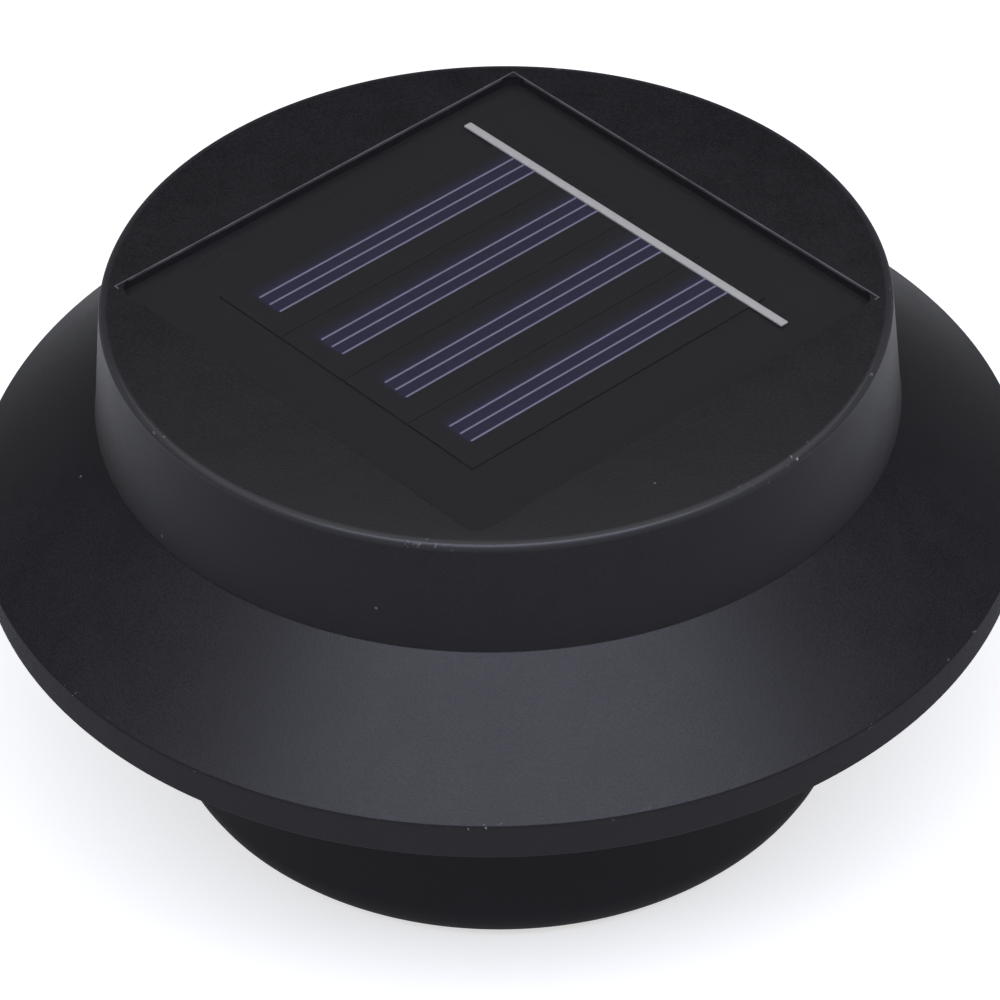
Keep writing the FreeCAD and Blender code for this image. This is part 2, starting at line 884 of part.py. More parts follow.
def inductor():
    """Waisted body lying on the board between two bent leads."""
    waist = inductor_radius - inductor_waist_depth
    body = turned([
        (0, 0, 0),
        (inductor_radius, 0, 0),
        (inductor_radius, inductor_collar, -inductor_waist_depth),
        (waist, inductor_collar, 0),
        (waist, inductor_length - inductor_collar, 0),
        (inductor_radius, inductor_length - inductor_collar, -inductor_waist_depth),
        (inductor_radius, inductor_length, 0),
        (0, inductor_length, 0),
    ])
    body.rotate(flat(0, 0), flat(0, 1), 90)
    body.translate(FreeCAD.Vector(-inductor_length / 2, 0, inductor_radius))
    reach = inductor_length / 2 + inductor_lead_out
    leads = round_bar([
        FreeCAD.Vector(-reach, 0, 0),
        FreeCAD.Vector(-reach, 0, inductor_radius),
        FreeCAD.Vector(reach, 0, inductor_radius),
        FreeCAD.Vector(reach, 0, 0),
    ], inductor_lead_radius)
    body = joined(body, [leads])
    body.translate(FreeCAD.Vector(driver_offset_x, driver_y, board_top_z))
    return body


# ---- Battery ----

def battery_cell():
    """Rechargeable cell lying along X, with its nub on the +X side."""
    shoulder = battery_length - battery_nub_height
    cell = turned([
        (0, 0, 0),
        (battery_radius, 0, -battery_bevel),
        (battery_radius, shoulder, -battery_bevel),
        (battery_nub_radius, shoulder, 0),
        (battery_nub_radius, battery_length, 0),
        (0, battery_length, 0),
    ])
    cell.rotate(flat(0, 0), flat(0, 1), 90)
    cell.translate(FreeCAD.Vector(battery_minus_x, 0, battery_z))
    return cell


def battery_holder():
    """Open tray with a notch in each long wall to lift the cell out."""
    tray = plate(rectangle(holder_length, holder_width, -holder_corner), holder_z, holder_height)
    inside = plate(rectangle(holder_inner_length, holder_inner_width, 0), holder_floor_z, holder_height)
    notch_corners = rectangle(holder_notch_length, holder_width + 2 * past, 0)
    notch = plate(notch_corners, holder_top_z - holder_notch_depth, holder_height)
    return tray.cut([inside, notch])


def holder_pad():
    """Foam pad between the board and the tray, cut to the round board."""
    edge = board_radius - foam_edge_gap
    length = 2 * math.sqrt(edge ** 2 - (holder_width / 2) ** 2)
    return plate(rectangle(length, holder_width - 2 * bite, -foam_corner), board_top_z, foam_thickness)


def battery_plus_contact():
    """Flat plate behind the nub, with its solder tab above the tray."""
    x = holder_inner_length / 2 - contact_thickness / 2
    corners = rectangle(contact_thickness, contact_width, 0, x, 0)
    return plate(corners, holder_floor_z, tab_top_z - holder_floor_z)


def battery_minus_contact():
    """Strip folded into a spring that presses the cell, with its solder tab above the tray."""
    back = contact_thickness / 2
    front = contact_spring_depth - contact_thickness / 2
    route = [
        (back, tab_top_z),
        (back, holder_floor_z + contact_thickness / 2),
        (front, battery_z),
        (back + contact_tip_back, battery_z + contact_tip_rise),
    ]
    outline = rounded_face(bent_strip(route, contact_thickness, contact_bend), upright)
    strip = outline.extrude(flat(0, contact_width))
    strip.translate(flat(-holder_inner_length / 2, -contact_width / 2))
    return strip


# ---- Switch ----

def switch_body():
    """Metal-cased slide switch with its slot facing down."""
    case = plate(rectangle(switch_length, switch_width, 0, 0, switch_y), switch_floor_z, switch_height)
    chamber_length = slider_plate_length + switch_travel + 2 * chamber_end_gap
    chamber_width = switch_width - 2 * switch_sheet
    chamber_height = slider_plate_height + 2 * switch_play
    chamber_corners = rectangle(chamber_length, chamber_width, 0, 0, switch_y)
    chamber = plate(chamber_corners, switch_floor_z + switch_sheet, chamber_height)
    slot_corners = rectangle(slot_length, slot_width, 0, 0, switch_y)
    slot = plate(slot_corners, switch_floor_z - past, past + switch_sheet + bite)
    return case.cut([chamber, slot])


def switch_slider():
    """Grooved knob that reaches down into the bowl's pocket, on a plate inside the switch."""
    x = -switch_travel / 2
    plate_z = switch_floor_z + switch_sheet + switch_play
    plate_width = switch_width - 2 * switch_sheet - 2 * switch_play
    slab = plate(rectangle(slider_plate_length, plate_width, 0, x, switch_y), plate_z, slider_plate_height)
    knob = plate(rectangle(knob_length, knob_width, 0, x, switch_y), knob_sink, plate_z - knob_sink + bite)
    grooves = []
    for step in (-1, 1):
        corners = rectangle(knob_groove_width, knob_width + past, 0, x + step * knob_length / 4, switch_y)
        grooves.append(plate(corners, knob_sink - past, past + knob_groove_depth))
    return joined(slab, [knob]).cut(grooves)


def switch_pins():
    pins = []
    for step in (-1, 0, 1):
        corners = rectangle(pin_width, pin_thickness, 0, step * pin_pitch, switch_y)
        pins.append(plate(corners, switch_top_z, pin_length))
    return group(pins)


# ---- Wires ----

def panel_wire(side):
    """Wire from under the panel's board down to the LED board."""
    x = side * panel_wire_half_pitch
    low_x = x + side * panel_wire_spread
    return wire([
        (x, wire_slot_y, panel_board_z),
        (x, wire_slot_y, tray_low_z - panel_wire_lead),
        (low_x, wire_slot_y, board_top_z + panel_wire_lead),
        (low_x, wire_slot_y, board_top_z),
    ])


def battery_wire(side):
    """Wire from a contact's solder tab over the tray's wall and down to the board."""
    tab_x = side * (holder_inner_length - contact_thickness) / 2
    high_z = tab_top_z + battery_wire_rise
    out_y = -(holder_width / 2 + battery_wire_side_gap)
    board_x = side * (board_radius - battery_wire_inset)
    return wire([
        (tab_x, 0, tab_top_z),
        (tab_x, 0, high_z),
        (board_x, out_y, high_z),
        (board_x, out_y, board_top_z),
    ])


def switch_wire(side):
    """Wire from a switch pin up past the board's edge and down onto it."""
    x = side * pin_pitch
    high_z = board_top_z + switch_wire_rise
    board_y = switch_wire_inset - board_radius
    return wire([
        (x, switch_y, pin_top_z),
        (x, switch_y, high_z),
        (x, board_y, high_z),
        (x, board_y, board_top_z),
    ])


# ---- Bracket and clamp ----

def leg_window(low, start_y, end_y):
    """Block that leaves a leg its rounded lower corners."""
    half_width = strip_width / 2
    high = strip_top + past
    corners = [
        (-half_width, low, strip_corner),
        (half_width, low, strip_corner),
        (half_width, high, 0),
        (-half_width, high, 0),
    ]
    block = rounded_face(corners, upright).extrude(flat(0, end_y - start_y))
    block.translate(flat(0, start_y))
    return block


def bracket():
    """Strip screwed to the bowl's pad, bent over the channel and down behind it."""
    bridge_z = strip_top - strip_thickness / 2
    route = [
        (inner_leg_y, inner_leg_low),
        (inner_leg_y, bridge_z),
        (outer_leg_y, bridge_z),
        (outer_leg_y, outer_leg_low),
    ]
    section = rounded_face(bent_strip(route, strip_thickness, strip_bend), sideways)
    strip = section.extrude(flat(strip_width, 0))
    strip.translate(flat(-strip_width / 2, 0))
    middle_y = (inner_leg_y + outer_leg_y) / 2
    inner_window = leg_window(inner_leg_low, pad_face - past, middle_y)
    outer_window = leg_window(outer_leg_low, middle_y, outer_leg_outside_y + past)
    strip = strip.common(inner_window.fuse(outer_window))
    holes = []
    for x in bracket_screw_places():
        hole_radius = bracket_screw_radius + hole_gap
        holes.append(rod(hole_radius, pad_face - past, inner_leg_y + past, x, bracket_screw_z))
    for side in (-1, 1):
        start_y = outer_leg_inside_y - past
        end_y = outer_leg_outside_y + past
        fence_x = side * fence_hole_spacing / 2
        clamp_x = side * clamp_spacing / 2
        holes.append(rod(fence_hole_radius, start_y, end_y, fence_x, fence_hole_z))
        holes.append(rod(clamp_screw_radius + clamp_hole_gap, start_y, end_y, clamp_x, clamp_z))
    return strip.cut(holes).removeSplitter()


def bracket_screws():
    screws = []
    for x in bracket_screw_places():
        screw = pan_screw(bracket_screw_radius, bracket_screw_length, bracket_screw_head_radius)
        screws.append(placed(screw, 90, x, pad_face + strip_thickness, bracket_screw_z))
    return group(screws)


def clamp_nuts():
    """Hexagonal nuts welded to the outside of the outer leg."""
    corner_radius = nut_across_flats / math.sqrt(3)
    corners = []
    for index in range(6):
        angle = math.radians(60 * index)
        corners.append((corner_radius * math.cos(angle), corner_radius * math.sin(angle), 0))
    nuts = []
    for side in (-1, 1):
        bore = disc(clamp_screw_radius + clamp_run_gap, -past, nut_thickness + 2 * past)
        nut = plate(corners, 0, nut_thickness).cut(bore)
        nuts.append(placed(nut, -90, side * clamp_spacing / 2, outer_leg_outside_y, clamp_z))
    return group(nuts)


def clamp_screw(side):
    """Thumb screw: a pivot in the pad, a shank through the nut and a fluted head."""
    pivot_start = swivel_back_y - pivot_depth + pivot_end_gap
    pivot_length = pivot_depth
    head_start = thumb_y - pivot_start
    head_end = head_start + thumb_height
    screw = turned([
        (0, 0, 0),
        (pivot_radius, 0, 0),
        (pivot_radius, pivot_length, 0),
        (clamp_screw_radius, pivot_length, 0),
        (clamp_screw_radius, head_start, 0),
        (thumb_radius, head_start, 0),
        (thumb_radius, head_end, 0),
        (0, head_end, 0),
    ])
    flutes = []
    for index in range(flute_count):
        flute = disc(flute_radius, head_start - past, thumb_height + 2 * past, thumb_radius, 0)
        flutes.append(spun(flute, 360.0 * index / flute_count))
    return placed(screw.cut(flutes), -90, side * clamp_spacing / 2, pivot_start, clamp_z)


def clamp_pad(side):
    """Round pad that swivels on the screw's pivot."""
    bore = pivot_radius + clamp_run_gap
    pad = turned([
        (0, 0, 0),
        (swivel_radius, 0, -swivel_bevel),
        (swivel_radius, swivel_thickness - swivel_taper, 0),
        (swivel_neck_radius, swivel_thickness, 0),
        (bore, swivel_thickness, 0),
        (bore, swivel_thickness - pivot_depth, 0),
        (0, swivel_thickness - pivot_depth, 0),
    ])
    return placed(pad, -90, side * clamp_spacing / 2, swivel_front_y, clamp_z)


# ---- Every piece by name ----

def all_pieces():
    """Every sub-part by the name of its file."""
    pieces = {
        "top_cap": top_cap(),
        "seal_ring": seal_ring(),
        "panel_adhesive": panel_adhesive(),
        "panel_board": panel_board(),
        "panel_cover": panel_cover(),
        "bus_bar": bus_bar(),
        "lower_bowl": lower_bowl(),
        "housing_screws": housing_screws(),
        "lens": lens(),
        "reflector": reflector(),
        "led_board": led_board(),
        "board_screws": board_screws(),
        "driver_chip": driver_chip(),
        "inductor": inductor(),
        "battery_cell": battery_cell(),
        "battery_holder": battery_holder(),
        "battery_plus_contact": battery_plus_contact(),
        "battery_minus_contact": battery_minus_contact(),
        "holder_pad": holder_pad(),
        "switch_body": switch_body(),
        "switch_slider": switch_slider(),
        "switch_pins": switch_pins(),
        "panel_wire_red": panel_wire(1),
        "panel_wire_black": panel_wire(-1),
        "battery_wire_red": battery_wire(1),
        "battery_wire_black": battery_wire(-1),
        "switch_wire_1": switch_wire(-1),
        "switch_wire_2": switch_wire(1),
        "bracket": bracket(),
        "bracket_screws": bracket_screws(),
        "clamp_nuts": clamp_nuts(),
        "clamp_screw_left": clamp_screw(-1),
        "clamp_screw_right": clamp_screw(1),
        "clamp_pad_left": clamp_pad(-1),
        "clamp_pad_right": clamp_pad(1),
    }
    for index in range(cell_count):
        pieces["cell_strip_%d" % (index + 1)] = cell_strip(index)
        pieces["finger_lines_%d" % (index + 1)] = finger_lines(index)
    for index, (x, y) in enumerate(led_places()):
        pieces["led_%d" % (index + 1)] = led(x, y)
    return pieces


os.makedirs("parts", exist_ok=True)
for name, shape in all_pieces().items():
    shape.exportStep("parts/%s.step" % name)
    print(name, "solids", len(shape.Solids), "volume %.1f" % shape.Volume, "valid", shape.isValid())
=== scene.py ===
import json
import math

import bpy
from bpy.props import FloatProperty, FloatVectorProperty, IntProperty, PointerProperty
from mathutils import Matrix, Vector


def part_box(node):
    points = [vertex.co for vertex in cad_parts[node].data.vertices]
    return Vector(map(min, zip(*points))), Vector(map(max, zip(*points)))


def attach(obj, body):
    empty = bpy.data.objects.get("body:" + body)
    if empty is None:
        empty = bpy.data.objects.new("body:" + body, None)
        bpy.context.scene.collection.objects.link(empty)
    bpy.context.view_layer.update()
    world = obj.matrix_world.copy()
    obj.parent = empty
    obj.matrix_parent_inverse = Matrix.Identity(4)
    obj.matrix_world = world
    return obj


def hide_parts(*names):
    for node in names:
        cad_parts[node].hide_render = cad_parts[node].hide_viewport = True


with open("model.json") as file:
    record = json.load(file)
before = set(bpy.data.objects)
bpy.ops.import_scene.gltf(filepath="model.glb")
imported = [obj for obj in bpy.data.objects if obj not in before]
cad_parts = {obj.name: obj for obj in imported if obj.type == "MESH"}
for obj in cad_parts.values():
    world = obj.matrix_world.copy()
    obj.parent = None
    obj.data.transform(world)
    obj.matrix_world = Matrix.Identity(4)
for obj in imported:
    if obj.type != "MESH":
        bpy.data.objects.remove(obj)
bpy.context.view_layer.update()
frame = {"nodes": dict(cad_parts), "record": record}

bl_info = {
    "name": "Solar fence light",
    "version": (1, 0, 0),
    "blender": (4, 5, 0),
    "location": "View3D > Sidebar > Fence light",
    "description": "Models and finishes a solar fence light around its fixed frame",
    "category": "Object",
}

mm = 0.001
quarter_turn = math.radians(90)
full_turn = math.radians(360)
smooth_angle = math.radians(32)
soften_angle = math.radians(38)
crease = 1.0                # least turn in radians between the faces of an edge that is rounded
merge_distance = 0.001 * mm
hair = 0.01 * mm            # how far off a level an edge may lie and still count as on it
past = 1.0 * mm             # how far a cutting shape reaches past the face that it cuts
bite = 0.5 * mm             # how far a joined shape reaches into the wall that carries it
black = (0.0, 0.0, 0.0)
white = (1.0, 1.0, 1.0)


# ---- Sizes and colours that a user would change ----

def length(name, description, millimetres):
    """Length given in millimetres, kept in metres and shown in the scene's own unit."""
    return FloatProperty(name=name, description=description, default=millimetres * mm, unit="LENGTH",
                         precision=5)


def angle(name, description, degrees):
    """Angle stored in radians."""
    return FloatProperty(name=name, description=description, default=math.radians(degrees),
                         subtype="ANGLE")


def number(name, description, default):
    """Plain number."""
    return FloatProperty(name=name, description=description, default=default)


def colour(name, description, default):
    """Linear colour."""
    return FloatVectorProperty(name=name, description=description, default=default, subtype="COLOR",
                               min=0.0, max=1.0)


def count(name, description, default):
    """Whole number."""
    return IntProperty(name=name, description=description, default=default, min=1)


class CapSizes(bpy.types.PropertyGroup):
    top: length("Top", "Height of the drum's top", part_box("top_cap")[1].z / mm)
    lip_low: length("Lip low", "Height of the lip's lower edge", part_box("top_cap")[0].z / mm)
    drum_top: length("Drum top radius", "Radius of the drum at its top", 44.2)
    drum_foot: length("Drum foot radius", "Radius of the drum where the brim starts", 45.4)
    drum_height: length("Drum height", "From the brim's start to the top", 13.7)
    brim_reach: length("Brim reach", "From the drum's foot to the brim's edge", 14.55)
    lip_height: length("Lip height", "Height of the upright lip", 4.8)
    lip_draft: length("Lip draft", "How far the lip leans in", 0.35)
    wall: length("Wall", "Wall of the shell", 2.0)
    top_round: length("Top rounding", "Rounding of the drum's top edge", 0.75)
    foot_round: length("Foot rounding", "Rounding where drum and brim meet", 0.35)
    lip_round: length("Lip rounding", "Rounding of the brim's edge and the lip", 0.4)
    ring_radius: length("Ring radius", "Outer radius of the sealing ring", 40.0)
    ring_wall: length("Ring wall", "Wall of the sealing ring", 1.8)
    ring_low: length("Ring low", "Height of the sealing ring's lower face", 45.3)
    rib_thickness: length("Rib", "Thickness of the ribs under the brim", 1.2)
    rib_depth: length("Rib depth", "Depth of the ribs at the drum", 2.6)
    rib_end: length("Rib end", "From a rib's end to the inside of the lip", 2.2)
    rib_count: count("Ribs", "Ribs under the brim", 12)
    tray_wall: length("Tray wall", "Wall of the tray that holds the panel", 1.6)
    post_radius: length("Post radius", "Radius of the posts for the screws", 3.2)
    mouth_round: length("Mouth rounding", "Rounding of the recess edge", 0.14)
    steps: count("Steps", "Facets round the cap", 240)


class PanelSizes(bpy.types.PropertyGroup):
    side: length("Side", "Side of the square panel", 59.96)
    corner: length("Corner", "Corner radius of the panel", 2.0)
    gap: length("Gap", "Gap that shows round the panel in its recess", 0.04)
    turn: angle("Turn", "Turn of the panel about the lamp's axis", 45.0)
    edge_round: length("Edge rounding", "Rounding of the cover's upper edge", 0.06)
    cover_rim: length("Cover rim", "Width of the cover's bonded rim", 2.6)
    pocket_depth: length("Pocket depth", "Depth of the pocket over the cells", 0.5)
    bond_line: length("Bond line", "Clear bond between the cover's rim and the board", 0.02)
    cell_pitch: length("Cell pitch", "From one cell to the next", 10.59)
    cell_length: length("Cell length", "Length of a cell", 43.96)
    cell_gap: length("Cell gap", "Hairline that shows between two cells", 0.03)
    cell_round: length("Cell rounding", "Rounding of a cell's upper edge", 0.12)
    cell_corner: length("Cell corner", "Corner radius of a cell", 0.2)
    cell_count: count("Cells", "Solar cells side by side", 4)
    cell_shift: length("Cell shift", "Shift of the cells across the panel", 0.65)
    line_pitch: length("Line pitch", "From one collecting line to the next", 1.75)
    line_front: length("Line start", "Start of the lines from the middle", -19.0)
    line_back: length("Line end", "Where the tint ends under the ribbon", 19.9)
    ribbon_place: length("Ribbon place", "Place of the ribbon along the cells", 19.93)
    ribbon_width: length("Ribbon width", "Width of the ribbon", 1.05)
    ribbon_length: length("Ribbon length", "Length of the ribbon", 52.5)
    ribbon_corner: length("Ribbon corner", "Corner radius of the ribbon", 0.1)
    ribbon_round: length("Ribbon round", "Rounding of the ribbon's upper edge", 0.06)
    ribbon_shift: length("Ribbon shift", "Shift of the ribbon across the cells", 0.65)


class BowlSizes(bpy.types.PropertyGroup):
    radius: length("Radius", "Outer radius of the bowl", 40.0)
    height: length("Height", "Height of the bowl's shoulder", 44.0)
    base_round: length("Base rounding", "Rounding of the base's outer edge", 5.8)
    wall: length("Wall", "Wall of the bowl", 2.0)
    opening: length("Opening radius", "Radius of the opening for the lens", 23.0)
    opening_round: length("Opening rounding", "Rounding of the opening's edge", 0.3)
    spigot: length("Spigot", "Height of the spigot inside the sealing ring", 3.0)
    spigot_radius: length("Spigot radius", "Outer radius of the spigot", 37.95)
    spigot_wall: length("Spigot wall", "Wall of the spigot", 1.6)
    post_circle: length("Post circle", "Radius of the circle of screw posts", 29.6)
    post_radius: length("Post radius", "Radius of a screw post", 3.9)
    well_radius: length("Well radius", "Radius of a screw well", 2.8)
    well_top: length("Well top", "Height of the web at the end of a well", 42.0)
    screw_hole: length("Screw hole", "Radius of the hole through the web", 1.7)
    post_count: count("Posts", "Screw posts", 3)
    pad_width: length("Pad width", "Width of the bracket's pad", 28.0)
    pad_low: length("Pad low", "Height of the pad's lower edge", 8.0)
    pad_high: length("Pad high", "Height of the pad's upper edge", 31.0)
    pad_face: length("Pad face", "Distance of the pad's face from the axis", 41.8)
    pad_corner: length("Pad corner", "Corner radius of the pad", 2.5)
    pad_round: length("Pad round", "Rounding of the pad's edge", 0.3)
    soften: length("Softening", "Rounding of small edges", 0.2)
    steps: count("Steps", "Facets round the bowl", 216)


class SwitchSizes(bpy.types.PropertyGroup):
    place: length("Place", "Distance of the switch from the axis", 28.6)
    pocket_length: length("Pocket length", "Length of the finger pocket", 10.9)
    pocket_width: length("Pocket width", "Width of the finger pocket", 4.8)
    pocket_depth: length("Pocket depth", "Depth of the finger pocket", 1.6)
    pocket_corner: length("Pocket corner", "Corner radius of the pocket", 1.0)
    pad_wall: length("Pad wall", "Wall round the pocket", 1.2)
    pad_top: length("Pad top", "Height of the face that the switch stands on", 3.0)
    slot_length: length("Slot length", "Length of the slot", 3.9)
    slot_width: length("Slot width", "Width of the slot", 2.3)
    slot_corner: length("Slot corner", "Corner radius of the slot", 0.2)


class LightSizes(bpy.types.PropertyGroup):
    face_radius: length("Face radius", "Radius of the lens face", 22.8)
    flange_radius: length("Flange radius", "Radius of the lens flange", 24.6)
    face_low: length("Face low", "Height of the lens face above the base", 0.7)
    flange_low: length("Flange low", "Height of the flange's lower face", 2.0)
    flange_top: length("Flange top", "Height of the flange's upper face", 3.2)
    face_round: length("Face rounding", "Rounding of the lens face", 0.8)
    ring_count: count("Rings", "Fine rings on the inside of the lens", 14)
    ring_depth: length("Ring depth", "Depth of the rings", 0.18)
    plain_rim: length("Plain rim", "Width of the lens outside its rings", 1.5)
    mouth: length("Reflector mouth", "Inner radius of the reflector's mouth", 22.2)
    top_radius: length("Reflector top", "Radius of the reflector's flat top", 11.4)
    top: length("Reflector top height", "Height of the reflector's top", 15.0)
    wall: length("Reflector wall", "Wall of the reflector", 1.2)
    led_circle: length("LED circle", "Radius of the circle of LEDs", 6.0)
    led_hole: length("LED hole", "Radius of the holes for the LEDs", 3.1)
    led_count: count("LEDs", "Light-emitting diodes", 3)
    steps: count("Steps", "Facets round the lens and the reflector", 128)


class BracketSizes(bpy.types.PropertyGroup):
    width: length("Width", "Width of the strip", 26.0)
    thickness: length("Thickness", "Thickness of the strip", 1.2)
    bend: length("Bend", "Middle radius of the bends", 2.2)
    corner: length("Corner", "Corner radius of the legs", 3.0)
    top: length("Top", "Height of the bridge", 31.2)
    inner_face: length("Inner face", "Where the inner leg lies on the pad", 41.8)
    channel: length("Channel", "Clear width between the legs", 18.0)
    inner_low: length("Inner leg low", "Height of the inner leg's end", 9.0)
    outer_low: length("Outer leg low", "Height of the outer leg's end", 4.0)
    screw_spacing: length("Screw spacing", "Between the bracket screws", 16.0)
    screw_height: length("Screw height", "Height of the bracket screws", 21.5)
    screw_hole: length("Screw hole", "Radius of the holes for the bracket screws", 1.7)
    fence_spacing: length("Fence hole spacing", "Between the holes for wood screws", 16.0)
    fence_height: length("Fence hole height", "Height of the holes for wood screws", 22.0)
    fence_hole: length("Fence hole", "Radius of the holes for wood screws", 2.1)
    soften: length("Softening", "Rounding of the strip's edges", 0.14)


class ScrewSizes(bpy.types.PropertyGroup):
    radius: length("Radius", "Radius of a pan screw's thread", 1.5)
    pitch: length("Pitch", "Pitch of its thread", 0.8)
    thread_depth: length("Thread depth", "Depth of its thread", 0.22)
    head_height: length("Head height", "Height of its head", 1.7)
    slot: length("Slot", "Width of the cross recess", 0.55)
    slot_depth: length("Slot depth", "Depth of the cross recess", 0.9)
    housing_length: length("Housing length", "Length of a housing screw", 12.0)
    housing_head: length("Housing head", "Radius of a housing screw's head", 2.6)
    bracket_length: length("Bracket length", "Length of a bracket screw", 9.0)
    bracket_head: length("Bracket head", "Radius of a bracket screw's head", 2.7)


class ClampSizes(bpy.types.PropertyGroup):
    spacing: length("Spacing", "Between the two clamp screws", 14.0)
    height: length("Height", "Height of the clamp screws", 12.5)
    shank: length("Shank", "Radius of the thread", 2.0)
    pitch: length("Pitch", "Pitch of the thread", 0.7)
    thread_depth: length("Thread depth", "Depth of the thread", 0.32)
    nut_flats: length("Nut", "Width of the nut across its flats", 7.0)
    nut_thickness: length("Nut thickness", "Thickness of the nut", 3.2)
    head_radius: length("Head radius", "Radius of the thumb head", 5.2)
    head_length: length("Head length", "Length of the thumb head", 5.0)
    flute_radius: length("Flute radius", "Radius of the flutes on the head", 0.7)
    flute_count: count("Flutes", "Flutes on the thumb head", 12)
    pivot: length("Pivot", "Radius of the pivot in the pad", 1.3)
    pivot_length: length("Pivot length", "Length of the pivot", 1.6)
    pad_radius: length("Pad radius", "Radius of the swivel pad", 4.2)
    pad_thickness: length("Pad thickness", "Thickness of the swivel pad", 2.6)
    pad_neck: length("Pad neck", "Radius of the pad's back", 2.9)
    running_gap: length("Running gap", "Gap round the pivot and the thread", 0.05)
    hole_gap: length("Hole gap", "Gap round a clamp screw in the strip", 0.25)
    head_dish: length("Head dish", "Depth of the dish in the thumb head", 0.35)


class FinishColours(bpy.types.PropertyGroup):
    cap: colour("Cap", "Moulded black of the cap", (0.0114, 0.0110, 0.0131))
    bowl: colour("Bowl", "Moulded black of the bowl", (0.0165, 0.0158, 0.0185))
    cell: colour("Cell", "Dark face of the solar cells", (0.0134, 0.0130, 0.0144))
    tint: colour("Cell tint", "Indigo between the collecting lines", (0.0215, 0.0205, 0.0440))
    line: colour("Collecting line", "Thin lines on the cells", (0.25, 0.24, 0.33))
    ribbon: colour("Ribbon", "Ribbon that joins the cells", (0.56, 0.55, 0.53))
    # Colour of the painted highlight on the recess's two back edges, behind the panel.
    edge: colour("Recess edge", "Painted highlight on the recess's two back edges", (0.105, 0.105, 0.112))
    steel: colour("Steel", "Bracket steel", (0.56, 0.555, 0.54))
    zinc: colour("Zinc", "Plated screws", (0.62, 0.63, 0.65))


class StageSettings(bpy.types.PropertyGroup):
    elevation: angle("Elevation", "Camera's angle above the floor", 39.300)
    roll: angle("Roll", "Camera's roll", 1.374)
    swing: angle("Swing", "Camera's turn about the lamp's axis", 3.64)
    distance: length("Distance", "From the camera's plane to the cap's top", 625.4)
    aside: length("Aside", "Sideways place of the cap's top in the view", -0.49)
    above: length("Above", "Upward place of the cap's top in the view", 23.19)
    focal: number("Focal length", "Lens in millimetres on a 36 mm sensor", 202.33)
    key_power: number("Key", "Power of the wide soft light in watts", 8.8)
    key_width: length("Key width", "Width of that light", 1300.0)
    key_height: length("Key height", "Height of that light", 360.0)
    key_tone: colour("Key tone", "Colour of the wide soft light", (0.78, 0.82, 1.0))
    world_fill: number("Fill", "Strength of the even light from all round", 0.46)
    walls: number("Walls in gloss", "How bright gloss shows the surroundings' sides", 0.08)
    ceiling: number("Ceiling in gloss", "Brightness that gloss shows overhead", 1.15)
    floor_shade: number("Floor", "Brightness of the pale floor", 0.6)
    floor_lift: number("Floor lift", "White added to the floor as it is seen", 0.6)
    floor_gloss: number("Floor in gloss", "Share of that white that gloss shows", 0.5)


# ---- Drawing by hand, in code ----

def deselect():
    bpy.ops.object.select_all(action="DESELECT")


def activate(*pieces):
    """Selects these objects alone and makes the first one active."""
    deselect()
    for piece in pieces:
        piece.select_set(True)
    bpy.context.view_layer.objects.active = pieces[0]


def named(piece, name):
    """Names an object and its mesh."""
    piece.name = name
    piece.data.name = name
    return piece


def rounded_points(corners, steps):
    """Points of an outline of (a, b, radius) corners, with each rounded corner as an arc."""
    points = []
    for index, (a, b, radius) in enumerate(corners):
        corner = Vector((a, b))
        if radius == 0:
            points.append(corner)
            continue
        before = (Vector(corners[index - 1][:2]) - corner).normalized()
        after = (Vector(corners[(index + 1) % len(corners)][:2]) - corner).normalized()
        half_angle = before.angle(after) / 2
        setback = radius / math.tan(half_angle)
        centre = corner + (before + after).normalized() * radius / math.sin(half_angle)
        start = corner + before * setback - centre
        end = corner + after * setback - centre
        for step in range(steps + 1):
            points.append(centre + start.lerp(end, step / steps).normalized() * radius)
    return points


def draw_line(name, points):
    """One vertex, extruded along a line of points. Leaves the piece in edit mode, all selected."""
    deselect()
    bpy.ops.mesh.primitive_plane_add(size=mm, location=(0, 0, 0))
    piece = named(bpy.context.object, name)
    bpy.ops.object.mode_set(mode="EDIT")
    bpy.ops.mesh.select_mode(type="VERT")
    bpy.ops.mesh.select_all(action="SELECT")
    bpy.ops.mesh.merge(type="CENTER")
    bpy.ops.transform.translate(value=points[0])
    for before, after in zip(points, points[1:]):
        bpy.ops.mesh.extrude_vertices_move(TRANSFORM_OT_translate={"value": after - before})
    bpy.ops.mesh.select_all(action="SELECT")
    return piece


def close_up(piece):
    """Merges doubled points, points the faces outwards and leaves edit mode."""
    bpy.ops.mesh.select_all(action="SELECT")
    bpy.ops.mesh.remove_doubles(threshold=merge_distance)
    bpy.ops.mesh.normals_make_consistent(inside=False)
    bpy.ops.mesh.select_all(action="DESELECT")
    bpy.ops.object.mode_set(mode="OBJECT")
    return piece


def turned(name, corners, steps, arc_steps=5):
    """Closed solid of an (r, z) outline turned about the Z axis."""
    points = [Vector((point.x, 0, point.y)) for point in rounded_points(corners, arc_steps)]
    piece = draw_line(name, points + points[:1])
    bpy.ops.mesh.remove_doubles(threshold=merge_distance)
    bpy.ops.mesh.spin(steps=steps, angle=full_turn, center=(0, 0, 0), axis=(0, 0, 1))
    return close_up(piece)


def slab(name, corners, depth, place, arc_steps=5):
    """Solid of a flat outline, whose points place() sets in space, extruded by a vector."""
    piece = draw_line(name, [place(point.x, point.y) for point in rounded_points(corners, arc_steps)])
    bpy.ops.mesh.edge_face_add()
    bpy.ops.mesh.extrude_region_move(TRANSFORM_OT_translate={"value": depth})
    return close_up(piece)


def block(name, corners, low, high, arc_steps=5):
    """Solid of an outline in plan, between two heights."""
    return slab(name, corners, Vector((0, 0, high - low)), lambda a, b: Vector((a, b, low)), arc_steps)


